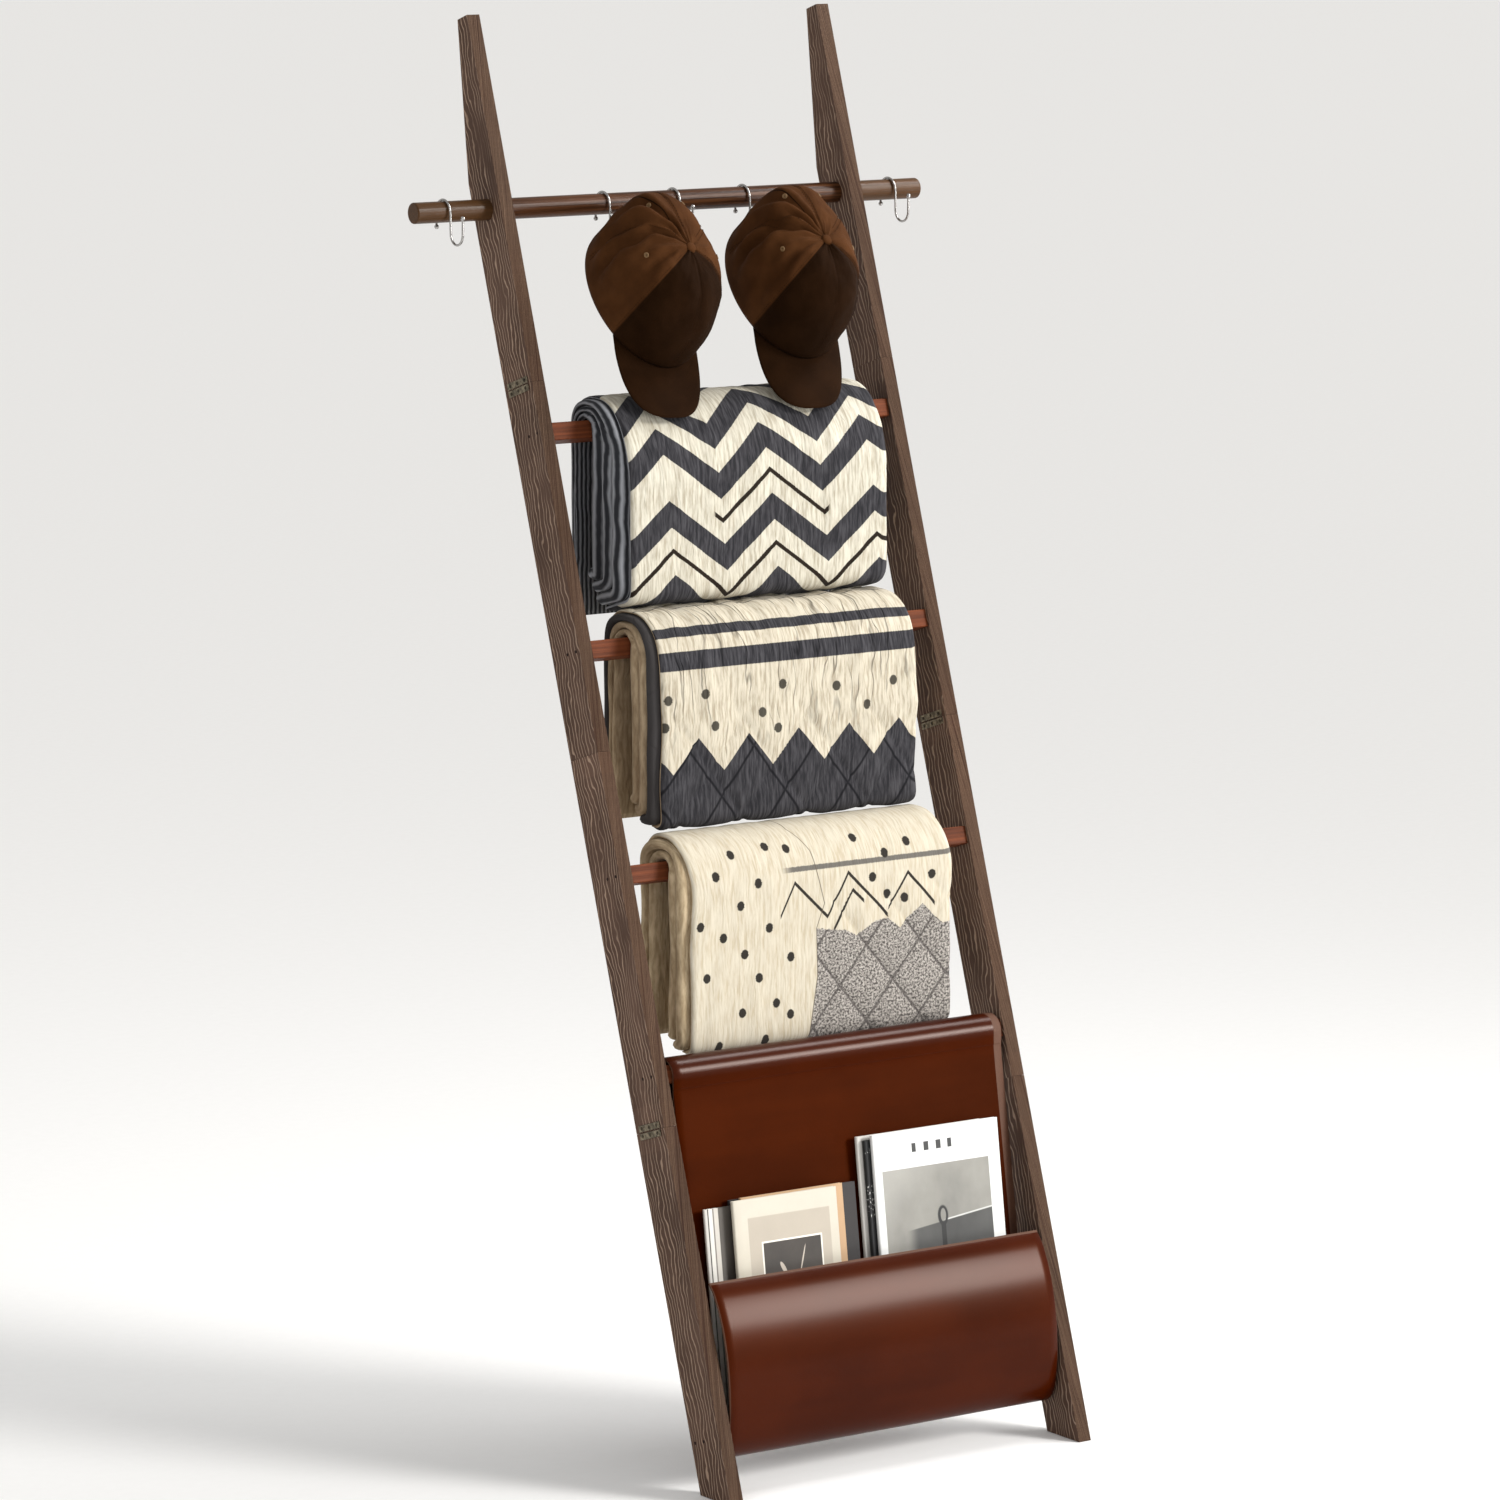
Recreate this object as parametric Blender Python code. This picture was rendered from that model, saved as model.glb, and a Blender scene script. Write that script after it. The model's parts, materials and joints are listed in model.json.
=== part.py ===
"""Leaning quilt rack: a sectional wooden ladder with three folded quilts, a hanging rod with
S-hooks and two caps, and a leather magazine sling. Metres, +Z up, front of the rack towards -Y.
The origin is under the middle of the rack's own bounding box, on the floor."""
import math

import bmesh
import bpy
from mathutils import Matrix, Vector

# ---- driving dimensions -----------------------------------------------------------------------
GAP = 0.0003                  # clearance kept between touching pieces
LEAN = math.radians(18.0)     # rail angle from the vertical, top towards the wall
RAIL_LENGTH = 1.830
RAIL_DEPTH = 0.062
RAIL_DEPTH_TOP = 0.0223
RAIL_THICK = 0.018
RAIL_SPACING = 0.520          # between the rails' centre planes
TAPER_LENGTH = 0.196          # top end of the rail, whose back tapers
SECTIONS = 4                  # each rail packs down into this many equal lengths
DOWEL_R, DOWEL_LENGTH = 0.004, 0.036
LEAF_HEIGHT, LEAF_WIDTH, LEAF_THICK = 0.0080, 0.046, 0.0010

ROD_R, ROD_OVERHANG = 0.013, 0.106
ROD_DOWN, ROD_IN = 0.236, 0.031        # from the rail's top end, and behind its front face

RUNG_HEIGHT, RUNG_DEPTH = 0.022, 0.028
RUNG_TENON = 0.010
RUNG_IN = 0.018                        # rung centre behind the rails' front face
RUNG_ALONG = (1.310, 1.040, 0.764, 0.520)
LOW_RUNG_ALONG, LOW_RUNG_IN = 0.0818, 0.0445   # the rung inside the sling's pocket

WIRE_R, BALL_R = 0.0015, 0.0029
HOOK_LOOSE = 0.0018                    # clearance between the rod and the hook's wire
HOOK_CUP_R = 0.0135                    # wire centre line of the lower loop
HOOK_CUP_AHEAD, HOOK_CUP_DOWN = 0.0007, 0.0250
HOOK_OUTSIDE = 0.072                   # outer hooks, beyond the rails' centre planes
HOOK_INNER_X = (-0.101, 0.003, 0.108)

CAP_HOOKS = (1, 3)
CAP_YAW = (math.radians(6.0), math.radians(2.0))
CAP_AIM_BELOW = 0.0153                 # each cap points at the top quilt's front, this far below its top
CROWN_A, CROWN_B, CROWN_H = 0.080, 0.100, 0.115
CLOTH = 0.0024
BRIM_OUT, BRIM_HALF, BRIM_DROOP = 0.067, 0.069, 0.012
ARCH_W, ARCH_H = 0.062, 0.050
STRAP_W, STRAP_T = 0.017, 0.0014

QUILT_W = (0.388, 0.384, 0.392)
SHOULDERS = ((0.072, 0.105), (0.060, 0.070), (0.055, 0.060))   # front fold of each quilt: depth, drop
QUILT_REACH = ((0.092, 0.034), (0.072, 0.050), (0.056, 0.052))  # ahead of and behind the rung's centre
QUILT_RISE = (0.043, 0.045, 0.043)                              # top of each quilt above its rung's centre
SLING_SIDE_GAP, LEATHER = 0.006, 0.0035
RUNG_TO_SLING = 0.0035                 # from the low rung's corners to the middle of the leather
STACK_DEPTH, STACK_TO_LOOP, STACK_IN = 0.0195, 0.0058, 0.015

# ---- what follows from them -----------------------------------------------------------------------
TAPER_START = RAIL_LENGTH - TAPER_LENGTH
ROD_ALONG = RAIL_LENGTH - ROD_DOWN
ROD_LENGTH = RAIL_SPACING + RAIL_THICK + 2 * ROD_OVERHANG
SLING_W = RAIL_SPACING - RAIL_THICK - 2 * SLING_SIDE_GAP
HOOK_X = (-RAIL_SPACING / 2 - HOOK_OUTSIDE, *HOOK_INNER_X, RAIL_SPACING / 2 + HOOK_OUTSIDE)
HOOK_LOOP_R = ROD_R + WIRE_R + HOOK_LOOSE         # wire centre line around the rod
HOOK_CUP = (-HOOK_LOOP_R - HOOK_CUP_R - HOOK_CUP_AHEAD, -HOOK_CUP_DOWN)   # centre, from the rod's centre
RUNG_HALF_DIAGONAL = math.hypot(RUNG_DEPTH, RUNG_HEIGHT) / 2
Y_MID = (RAIL_LENGTH * math.sin(LEAN) + RAIL_DEPTH_TOP * math.cos(LEAN)) / 2

# ---- colours: base colour, roughness, metallic --------------------------------------------------
LOOKS = {
    "rail_wood": ((0.105, 0.062, 0.043), 0.62, 0.0),
    "rung_wood": ((0.160, 0.050, 0.026), 0.45, 0.0),
    "rod_wood": ((0.070, 0.018, 0.010), 0.28, 0.0),
    "dowel_wood": ((0.420, 0.270, 0.150), 0.70, 0.0),
    "brass": ((0.330, 0.260, 0.160), 0.45, 0.9),
    "steel": ((0.620, 0.600, 0.580), 0.25, 1.0),
    "cap_cotton": ((0.052, 0.020, 0.008), 0.85, 0.0),
    "quilt_cotton": ((0.700, 0.640, 0.520), 0.90, 0.0),
    "leather": ((0.110, 0.030, 0.010), 0.38, 0.0),
    "cover_cream": ((0.760, 0.700, 0.600), 0.50, 0.0),
    "cover_white": ((0.850, 0.850, 0.840), 0.45, 0.0),
    "cover_tan": ((0.480, 0.270, 0.140), 0.60, 0.0),
    "cover_black": ((0.012, 0.012, 0.012), 0.45, 0.0),
}


def clear_scene():
    for old in list(bpy.data.objects):
        bpy.data.objects.remove(old, do_unlink=True)


def material(look):
    colour, rough, metal = LOOKS[look]
    mat = bpy.data.materials.new(look)
    mat.use_nodes = True
    shader = mat.node_tree.nodes["Principled BSDF"]
    shader.inputs["Base Color"].default_value = (*colour, 1.0)
    shader.inputs["Roughness"].default_value = rough
    shader.inputs["Metallic"].default_value = metal
    return mat


def empty(name, location, parent=None, rotation=(0, 0, 0)):
    obj = bpy.data.objects.new(name, None)
    bpy.context.collection.objects.link(obj)
    obj.location, obj.rotation_euler, obj.parent = location, rotation, parent
    return obj


def add(name, mesh, look, parent=None, location=(0, 0, 0), rotation=(0, 0, 0), smooth=False):
    obj = bpy.data.objects.new(name, mesh)
    bpy.context.collection.objects.link(obj)
    obj.location, obj.rotation_euler, obj.parent = location, rotation, parent
    if look:
        mesh.materials.clear()
        mesh.materials.append(material(look))
    if smooth:
        mesh.shade_smooth()
        mesh.set_sharp_from_angle(angle=math.radians(40))
    return obj


def finish(bm, name):
    bmesh.ops.recalc_face_normals(bm, faces=bm.faces)
    mesh = bpy.data.meshes.new(name)
    bm.to_mesh(mesh)
    bm.free()
    return mesh


def prism(name, outline, x0, x1):
    """Close the (y, z) outline between x0 and x1."""
    bm = bmesh.new()
    ring = [bm.verts.new((x0, y, z)) for y, z in outline]
    face = bm.faces.new(ring)
    new = bmesh.ops.extrude_face_region(bm, geom=[face])["geom"]
    bmesh.ops.translate(bm, vec=(x1 - x0, 0, 0), verts=[v for v in new if isinstance(v, bmesh.types.BMVert)])
    return finish(bm, name)


def box(name, size):
    bm = bmesh.new()
    bmesh.ops.create_cube(bm, size=1.0)
    bmesh.ops.scale(bm, vec=size, verts=bm.verts)
    return finish(bm, name)


def cylinder(name, radius, length, along="Z", sides=32):
    bm = bmesh.new()
    bmesh.ops.create_cone(bm, cap_ends=True, segments=sides, radius1=radius, radius2=radius, depth=length)
    turn = {"Z": Matrix(), "X": Matrix.Rotation(math.pi / 2, 4, "Y")}[along]
    bmesh.ops.transform(bm, matrix=turn, verts=bm.verts)
    return finish(bm, name)


def cutter(mesh, parent, location, rotation=(0, 0, 0)):
    obj = add("cut_" + mesh.name, mesh, None, parent, location, rotation)
    obj.hide_render, obj.display_type = True, "WIRE"
    return obj


def cut(obj, tool):
    mod = obj.modifiers.new("cut", "BOOLEAN")
    mod.operation, mod.solver, mod.object = "DIFFERENCE", "EXACT", tool


def chamfer(obj, width, segments=1):
    mod = obj.modifiers.new("edges", "BEVEL")
    mod.width, mod.segments, mod.limit_method = width, segments, "ANGLE"
    mod.angle_limit = math.radians(50)


def curve_through(points, step):
    """A smooth Catmull-Rom run through (y, z) points, about one point every step metres."""
    pts = [Vector(p) for p in points]
    pts = [2 * pts[0] - pts[1]] + pts + [2 * pts[-1] - pts[-2]]
    out = []
    for i in range(1, len(pts) - 2):
        a, b, c, d = pts[i - 1:i + 3]
        n = max(1, round((c - b).length / step))
        for k in range(n):
            u = k / n
            out.append(0.5 * (2 * b + (c - a) * u + (2 * a - 5 * b + 4 * c - d) * u * u
                              + (3 * b - a - 3 * c + d) * u ** 3))
    out.append(pts[-2])
    return out


def offset_band(points, thickness):
    """The closed outline of a sheet whose centre line is the given open run."""
    left, right = [], []
    for i, p in enumerate(points):
        t = (points[min(i + 1, len(points) - 1)] - points[max(i - 1, 0)]).normalized()
        n = Vector((-t.y, t.x)) * thickness / 2
        left.append(p + n)
        right.append(p - n)
    return left + right[::-1]


def arc(cy, cz, r, a0, a1, n):
    """Points on a circle in the (y, z) plane, angles in degrees from +Y."""
    return [(cy + r * math.cos(math.radians(a0 + (a1 - a0) * k / n)),
             cz + r * math.sin(math.radians(a0 + (a1 - a0) * k / n))) for k in range(n + 1)]


def rail_yz(along, inward):
    """World (y, z) of a point on the rails, before the shift to the origin."""
    return (along * math.sin(LEAN) + inward * math.cos(LEAN),
            along * math.cos(LEAN) - inward * math.sin(LEAN))


# ---- rails, rungs, rod --------------------------------------------------------------------------
def rail_outline(k):
    """Section k of a rail in the rail's own frame: (inward, along)."""
    part = RAIL_LENGTH / SECTIONS
    low, high = k * part + GAP / 2, (k + 1) * part - GAP / 2
    points = [(0, low), (RAIL_DEPTH, low)]
    if k == 0:
        points = [(0, 0), (RAIL_DEPTH, RAIL_DEPTH * math.tan(LEAN))]
    if k == SECTIONS - 1:
        return points + [(RAIL_DEPTH, TAPER_START), (RAIL_DEPTH_TOP, RAIL_LENGTH), (0, RAIL_LENGTH)]
    return points + [(RAIL_DEPTH, high), (0, high)]


def build_rack(frame):
    part = RAIL_LENGTH / SECTIONS
    holes = [cutter(cylinder("rod_hole", ROD_R + GAP, 2 * ROD_LENGTH, "X", 40), frame, (0, ROD_IN, ROD_ALONG))]
    rungs = [(s, RUNG_IN) for s in RUNG_ALONG] + [(LOW_RUNG_ALONG, LOW_RUNG_IN)]
    inner = RAIL_SPACING / 2 - RAIL_THICK / 2
    for i, (s, t) in enumerate(rungs):
        size = (2 * (inner + RUNG_TENON + GAP), RUNG_DEPTH + 2 * GAP, RUNG_HEIGHT + 2 * GAP)
        holes.append(cutter(box(f"mortise_{i + 1}", size), frame, (0, t, s)))
    for side, sx in (("left", -1), ("right", 1)):
        x = sx * RAIL_SPACING / 2
        dowel_holes = []
        for k in range(1, SECTIONS):
            seam = Vector((x, RAIL_DEPTH / 2, k * part))
            hole = cylinder(f"dowel_hole_{side}_{k}", DOWEL_R + GAP, DOWEL_LENGTH + 0.001, "Z", 16)
            dowel_holes.append(cutter(hole, frame, seam))
            add(f"dowel_{side}_{k}", cylinder("dowel", DOWEL_R, DOWEL_LENGTH, "Z", 16), "dowel_wood",
                frame, seam, smooth=True)
            face = sx if k != 2 else -sx          # middle joint folds the other way when packed
            for edge, es in (("low", -1), ("high", 1)):
                leaf = box("leaf", (LEAF_THICK, LEAF_WIDTH, LEAF_HEIGHT))
                place = seam + Vector((face * (RAIL_THICK / 2 + GAP + LEAF_THICK / 2), 0,
                                       es * (LEAF_HEIGHT / 2 + 0.0008)))
                chamfer(add(f"leaf_{side}_{k}_{edge}", leaf, "brass", frame, place), 0.0003)
        for k in range(SECTIONS):
            mesh = prism("rail", rail_outline(k), x - RAIL_THICK / 2, x + RAIL_THICK / 2)
            obj = add(f"rail_{side}_{k + 1}", mesh, "rail_wood", frame)
            low, high = k * part, (k + 1) * part
            if low < ROD_ALONG < high:
                cut(obj, holes[0])
            for (s, _), hole in zip(rungs, holes[1:]):
                if low < s < high:
                    cut(obj, hole)
            for j, hole in enumerate(dowel_holes):
                if j + 1 in (k, k + 1):
                    cut(obj, hole)
    rod = add("hanging_rod", cylinder("rod", ROD_R, ROD_LENGTH, "X", 40), "rod_wood",
              frame, (0, ROD_IN, ROD_ALONG), smooth=True)
    chamfer(rod, 0.0015, 2)
    for i, (s, t) in enumerate(rungs):
        rung = add(f"rung_{i + 1}", box("rung", (2 * (inner + RUNG_TENON), RUNG_DEPTH, RUNG_HEIGHT)),
                   "rung_wood", frame, (0, t, s))
        chamfer(rung, 0.0010)


# ---- hooks --------------------------------------------------------------------------------------
def hook_path():
    """Centre line of the S-hook in (y, z) from the rod's centre, with the wire radius at each point."""
    top = -(HOOK_LOOP_R - ROD_R - WIRE_R - GAP)
    cy, cz = HOOK_CUP
    leg_back = cy + HOOK_CUP_R
    run = [(HOOK_LOOP_R - 0.0012, top - 0.0175), (HOOK_LOOP_R - 0.0002, top - 0.0085)]
    run += arc(0, top, HOOK_LOOP_R, 0, 180, 12)
    run += [(-HOOK_LOOP_R - 0.0003, (top + cz) / 2)]
    run += arc(cy, cz, HOOK_CUP_R, 0, -180, 10)
    run += [(cy - HOOK_CUP_R - 0.0003, cz + 0.0100), (cy - HOOK_CUP_R - 0.0005, cz + 0.0195)]
    assert abs(leg_back + HOOK_LOOP_R) < 0.002
    return [Vector(p) for p in run]


def build_hook_mesh(sides=8):
    path = hook_path()
    stations = []
    for end, nxt in ((path[0], path[1]), (path[-1], path[-2])):
        axis = (nxt - end).normalized()
        ball = []
        for deg in (-62, -25, 15, 50):
            a = math.radians(deg)
            ball.append((end + axis * (BALL_R * math.sin(a)), BALL_R * math.cos(a)))
        stations.append(ball)
    rings = stations[0] + [(p, WIRE_R) for p in path[1:-1]] + stations[1][::-1]
    bm = bmesh.new()
    loops = []
    for i, (p, r) in enumerate(rings):
        a, b = rings[max(i - 1, 0)][0], rings[min(i + 1, len(rings) - 1)][0]
        t = (b - a).normalized()
        n = Vector((-t.y, t.x))
        loops.append([bm.verts.new((r * math.cos(q), p.x + n.x * r * math.sin(q), p.y + n.y * r * math.sin(q)))
                      for q in (2 * math.pi * k / sides for k in range(sides))])
    for a, b in zip(loops, loops[1:]):
        for k in range(sides):
            bm.faces.new((a[k], a[(k + 1) % sides], b[(k + 1) % sides], b[k]))
    bm.faces.new(loops[0][::-1])
    bm.faces.new(loops[-1])
    return finish(bm, "hook")


# ---- caps ---------------------------------------------------------------------------------------
def crown_mesh(columns=28, rows=7):
    """Boxy dome in the cap's frame: X ear to ear, -Y to the brim, +Z to the button."""
    bm = bmesh.new()

    def shell(inset):
        rows_out = []
        for j in range(rows):
            f = math.pi / 2 * j / rows
            r, h = math.cos(f) ** 0.72, math.sin(f) ** 0.95
            rows_out.append([bm.verts.new((
                (CROWN_A - inset) * r * math.cos(2 * math.pi * i / columns),
                (CROWN_B - inset) * r * math.sin(2 * math.pi * i / columns),
                (CROWN_H - inset) * h)) for i in range(columns)])
        return rows_out, bm.verts.new((0, 0, CROWN_H - inset))

    outer, outer_tip = shell(0.0)
    inner, inner_tip = shell(CLOTH)
    for grid, tip in ((outer, outer_tip), (inner, inner_tip)):
        for a, b in zip(grid, grid[1:]):
            for i in range(columns):
                bm.faces.new((a[i], a[(i + 1) % columns], b[(i + 1) % columns], b[i]))
        for i in range(columns):
            bm.faces.new((grid[-1][i], grid[-1][(i + 1) % columns], tip))
    for i in range(columns):
        bm.faces.new((outer[0][i], outer[0][(i + 1) % columns], inner[0][(i + 1) % columns], inner[0][i]))
    return finish(bm, "crown")


def brim_mesh(columns=16, rows=4):
    """Curved visor whose inner edge lies under the front of the crown's rim."""
    bm = bmesh.new()
    tops, bottoms = [], []
    for j in range(rows + 1):
        v = j / rows
        top, bottom = [], []
        for i in range(columns + 1):
            a = math.radians(-60 + 120 * i / columns)
            inner = Vector(((CROWN_A - 0.0015) * math.sin(a), -(CROWN_B - 0.0015) * math.cos(a)))
            w = math.sin(a) / math.sin(math.radians(60))
            side = BRIM_HALF * math.sin(a * 1.5) if abs(w) < 1 else BRIM_HALF * w
            reach = max(0.0, 1 - abs(w) ** 2.6) ** 0.62
            outer = Vector((side, -(CROWN_B * 0.50 + (CROWN_B * 0.50 + BRIM_OUT) * reach)))
            p = inner.lerp(outer, v)
            z = -2 * GAP - BRIM_DROOP * v * w * w - 0.004 * v * v
            top.append(bm.verts.new((p.x, p.y, z)))
            bottom.append(bm.verts.new((p.x, p.y, z - 0.0028)))
        tops.append(top)
        bottoms.append(bottom)
    for grid in (tops, bottoms):
        for a, b in zip(grid, grid[1:]):
            for i in range(columns):
                bm.faces.new((a[i], a[i + 1], b[i + 1], b[i]))
    for i in range(columns):
        bm.faces.new((tops[0][i], tops[0][i + 1], bottoms[0][i + 1], bottoms[0][i]))
        bm.faces.new((tops[-1][i], tops[-1][i + 1], bottoms[-1][i + 1], bottoms[-1][i]))
    for j in range(rows):
        for i in (0, columns):
            bm.faces.new((tops[j][i], tops[j + 1][i], bottoms[j + 1][i], bottoms[j][i]))
    return finish(bm, "brim")


def strap_mesh(columns=10):
    """Band across the arch, just inside the crown's shell at the back of the rim."""
    half = math.asin((ARCH_W / 2 + 0.012) / CROWN_A)
    inset = CLOTH + 4 * GAP                # clears the flats of the crown between its columns
    bm = bmesh.new()
    rings = []
    for i in range(columns + 1):
        a = -half + 2 * half * i / columns
        ring = []
        for dr, z in ((0, 0.0004), (0, STRAP_W), (STRAP_T, STRAP_W), (STRAP_T, 0.0004)):
            f = math.asin(min(1.0, (z / CROWN_H) ** (1 / 0.95)))
            r = math.cos(f) ** 0.72
            ring.append(bm.verts.new((((CROWN_A - inset) * r - dr - 0.0004) * math.sin(a),
                                      ((CROWN_B - inset) * r - dr - 0.0004) * math.cos(a), z)))
        rings.append(ring)
    for a, b in zip(rings, rings[1:]):
        for k in range(4):
            bm.faces.new((a[k], a[(k + 1) % 4], b[(k + 1) % 4], b[k]))
    bm.faces.new(rings[0])
    bm.faces.new(rings[-1][::-1])
    return finish(bm, "strap")


def build_cap(name, hook_x, rod_y, rod_z, yaw):
    cup = Vector((hook_x, rod_y + HOOK_CUP[0], rod_z + HOOK_CUP[1]))
    pivot = empty(name + "_pivot", cup)
    rung_y, rung_z = rail_yz(RUNG_ALONG[0], RUNG_IN)
    tilt = math.atan2(cup.y - (rung_y - Y_MID - QUILT_REACH[0][0]),
                      cup.z - (rung_z + QUILT_RISE[0] - CAP_AIM_BELOW))
    forward = Vector((0, -math.sin(tilt), -math.cos(tilt)))
    up0 = Vector((0, -math.cos(tilt), math.sin(tilt)))
    up = up0 * math.cos(yaw) + Vector((1, 0, 0)) * math.sin(yaw)
    turn = Matrix((forward.cross(up) * -1, -forward, up)).transposed()
    if turn.determinant() < 0:
        turn = Matrix((forward.cross(up), -forward, up)).transposed()
    seat = forward * 0.0060                        # the strap lies across the bottom of the hook's loop
    centre = seat + forward * (CROWN_B - CLOTH - 4 * GAP - STRAP_T / 2) - up * (STRAP_W / 2)
    placed = {"location": centre, "rotation": turn.to_euler()}
    crown = add(name + "_crown", crown_mesh(), "cap_cotton", pivot, smooth=True, **placed)
    arch = bmesh.new()
    bmesh.ops.create_cone(arch, cap_ends=True, segments=24, radius1=ARCH_W / 2, radius2=ARCH_W / 2, depth=0.08)
    bmesh.ops.transform(arch, matrix=Matrix.Rotation(math.pi / 2, 4, "X"), verts=arch.verts)
    bmesh.ops.scale(arch, vec=(1, 1, ARCH_H / (ARCH_W / 2)), verts=arch.verts)
    bmesh.ops.translate(arch, vec=(0, CROWN_B, 0), verts=arch.verts)
    cut(crown, cutter(finish(arch, name + "_arch"), pivot, placed["location"], placed["rotation"]))
    add(name + "_brim", brim_mesh(), "cap_cotton", pivot, smooth=True, **placed)
    add(name + "_strap", strap_mesh(), "cap_cotton", pivot, smooth=True, **placed)
    button = cylinder("button", 0.0065, 0.0030, "Z", 16)
    knob = add(name + "_button", button, "cap_cotton", pivot, smooth=True,
               location=centre + turn @ Vector((0, 0, CROWN_H + GAP + 0.0015)), rotation=placed["rotation"])
    chamfer(knob, 0.0012, 2)


# ---- quilts, sling, magazines -------------------------------------------------------------------
def quilt_outline(rung, front, back, top, front_foot, back_foot, shoulder):
    """A stack folded over a rung: an inverted U, closed to a narrow slit under the rung."""
    cy, cz = rung
    sl, cl = math.sin(LEAN), math.cos(LEAN)
    clear = 0.0006

    def corner(dt, ds):
        return (cy + ds * sl + dt * cl, cz + ds * cl - dt * sl)

    d, h = RUNG_DEPTH / 2 + clear, RUNG_HEIGHT / 2 + clear
    (ry, rz), rb, foot = shoulder, 0.030, 0.016
    line = [(front + foot, front_foot)] + arc(front + foot, front_foot + foot, foot, 250, 180, 3)
    line += [(front + ry + (y * ry), top - rz + z * rz) for y, z in arc(0, 0, 1, 180, 90, 7)]
    line += arc(back - rb, top - rb, rb, 90, 0, 4)
    line += arc(back - 0.010, back_foot + 0.010, 0.010, 0, -90, 3)
    line += [(cy + 0.004, back_foot), (cy + 0.003, cz - 0.040), corner(d, -h), corner(d, h),
             corner(-d, h), corner(-d, -h), (cy - 0.003, cz - 0.040), (cy - 0.002, front_foot)]
    return line


def build_quilts():
    rungs = [rail_yz(s, RUNG_IN) for s in RUNG_ALONG]
    sling_top = rungs[3][1] + RUNG_HALF_DIAGONAL + GAP + LEATHER
    tops = [rung[1] + rise for rung, rise in zip(rungs, QUILT_RISE)]
    floors = [tops[1] + 0.002, tops[2] + 0.002, sling_top + 0.002]
    for i, (rung, (ahead, behind)) in enumerate(zip(rungs, QUILT_REACH)):
        outline = quilt_outline(rung, rung[0] - ahead, rung[0] + behind, tops[i], floors[i],
                                floors[i] - (0.024 if i == 0 else 0.0), SHOULDERS[i])
        outline = [(y - Y_MID, z) for y, z in outline]
        mesh = prism("quilt", outline, -QUILT_W[i] / 2, QUILT_W[i] / 2)
        add(f"quilt_{i + 1}", mesh, "quilt_cotton", smooth=True)


def sling_line():
    """Centre line of the leather: hem, over the fourth rung, down, round the low rung, up to the lip."""
    cy, cz = rail_yz(RUNG_ALONG[3], RUNG_IN)
    ly, lz = rail_yz(LOW_RUNG_ALONG, LOW_RUNG_IN)
    r = RUNG_HALF_DIAGONAL + GAP + LEATHER / 2
    hem = [(cy - 0.0145, cz - 0.0470), (cy - 0.0080, cz - 0.0420), (cy + 0.0120, cz - 0.0230)]
    loop = arc(cy, cz, r, -18, 180, 12)
    panel = [(cy - r - 0.0002, cz - 0.012), (cy - r - 0.0032, cz - 0.040)]
    panel += [(ly + y, lz + z) for y, z in ((0.0549, 0.186), (0.0444, 0.106), (0.0359, 0.046))]
    snug = RUNG_HALF_DIAGONAL + RUNG_TO_SLING
    bend = [(ly + y * snug, lz + z * snug)
            for y, z in ((1.38, 0.47), (0.957, -0.516), (0.207, -0.977), (-0.545, -0.892), (-1.108, -0.141))]
    belly = [(ly + y, lz + z) for y, z in ((-0.0281, 0.026), (-0.0286, 0.056), (-0.0246, 0.096),
                                           (-0.0146, 0.136), (0.0014, 0.171), (0.0154, 0.188))]
    return [Vector((y - Y_MID, z)) for y, z in curve_through(hem + loop + panel + bend + belly, 0.012)]


def build_sling():
    outline = offset_band(sling_line(), LEATHER)
    add("leather_sling", prism("sling", outline, -SLING_W / 2, SLING_W / 2), "leather", smooth=True)


def build_magazines():
    """Two stacks that stand on the lowest rung and lean back; (name, x0, x1, height, thickness, look)."""
    cy, cz = rail_yz(LOW_RUNG_ALONG, LOW_RUNG_IN)
    front_edge = (cy + RUNG_HEIGHT / 2 * math.sin(LEAN) - RUNG_DEPTH / 2 * math.cos(LEAN),
                  cz + RUNG_HEIGHT / 2 * math.cos(LEAN) + RUNG_DEPTH / 2 * math.sin(LEAN))
    start = Vector((front_edge[0] + STACK_IN - Y_MID, front_edge[1] - STACK_IN * math.tan(LEAN) + 2 * GAP))
    top_y, top_z = rail_yz(RUNG_ALONG[3], RUNG_IN)
    loop_front = top_y - Y_MID - RUNG_HALF_DIAGONAL - GAP - LEATHER
    lean = math.atan2(loop_front - STACK_TO_LOOP - start.x - STACK_DEPTH, top_z - start.y)
    lean_dir = Vector((math.sin(lean), math.cos(lean)))
    deep_dir = Vector((math.cos(lean), -math.sin(lean)))
    stacks = {
        "left": (("magazine_cream", -0.192, -0.040, 0.268, 0.0060, "cover_cream"),
                 ("book_tan", -0.176, -0.026, 0.270, 0.0050, "cover_tan"),
                 ("magazine_grey", -0.226, -0.060, 0.262, 0.0045, "cover_white"),
                 ("book_black", -0.186, 0.000, 0.268, 0.0050, "cover_black")),
        "right": (("magazine_white", 0.019, 0.209, 0.322, 0.0060, "cover_white"),
                  ("book_dark_spine", 0.012, 0.200, 0.316, 0.0070, "cover_black"),
                  ("magazine_plain", 0.006, 0.196, 0.321, 0.0060, "cover_white")),
    }
    for side, books in stacks.items():
        foot = start.copy()
        pivot = empty(f"magazines_{side}_pivot", (0, foot.x, foot.y))
        for name, x0, x1, height, thick, look in books:
            centre = deep_dir * (thick / 2) + lean_dir * (height / 2) + (foot - start)
            mesh = box(name, (x1 - x0, thick, height))
            add(name, mesh, look, pivot, ((x0 + x1) / 2, centre.x, centre.y), (-lean, 0, 0))
            foot = foot + deep_dir * (thick + 0.0004)


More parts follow.
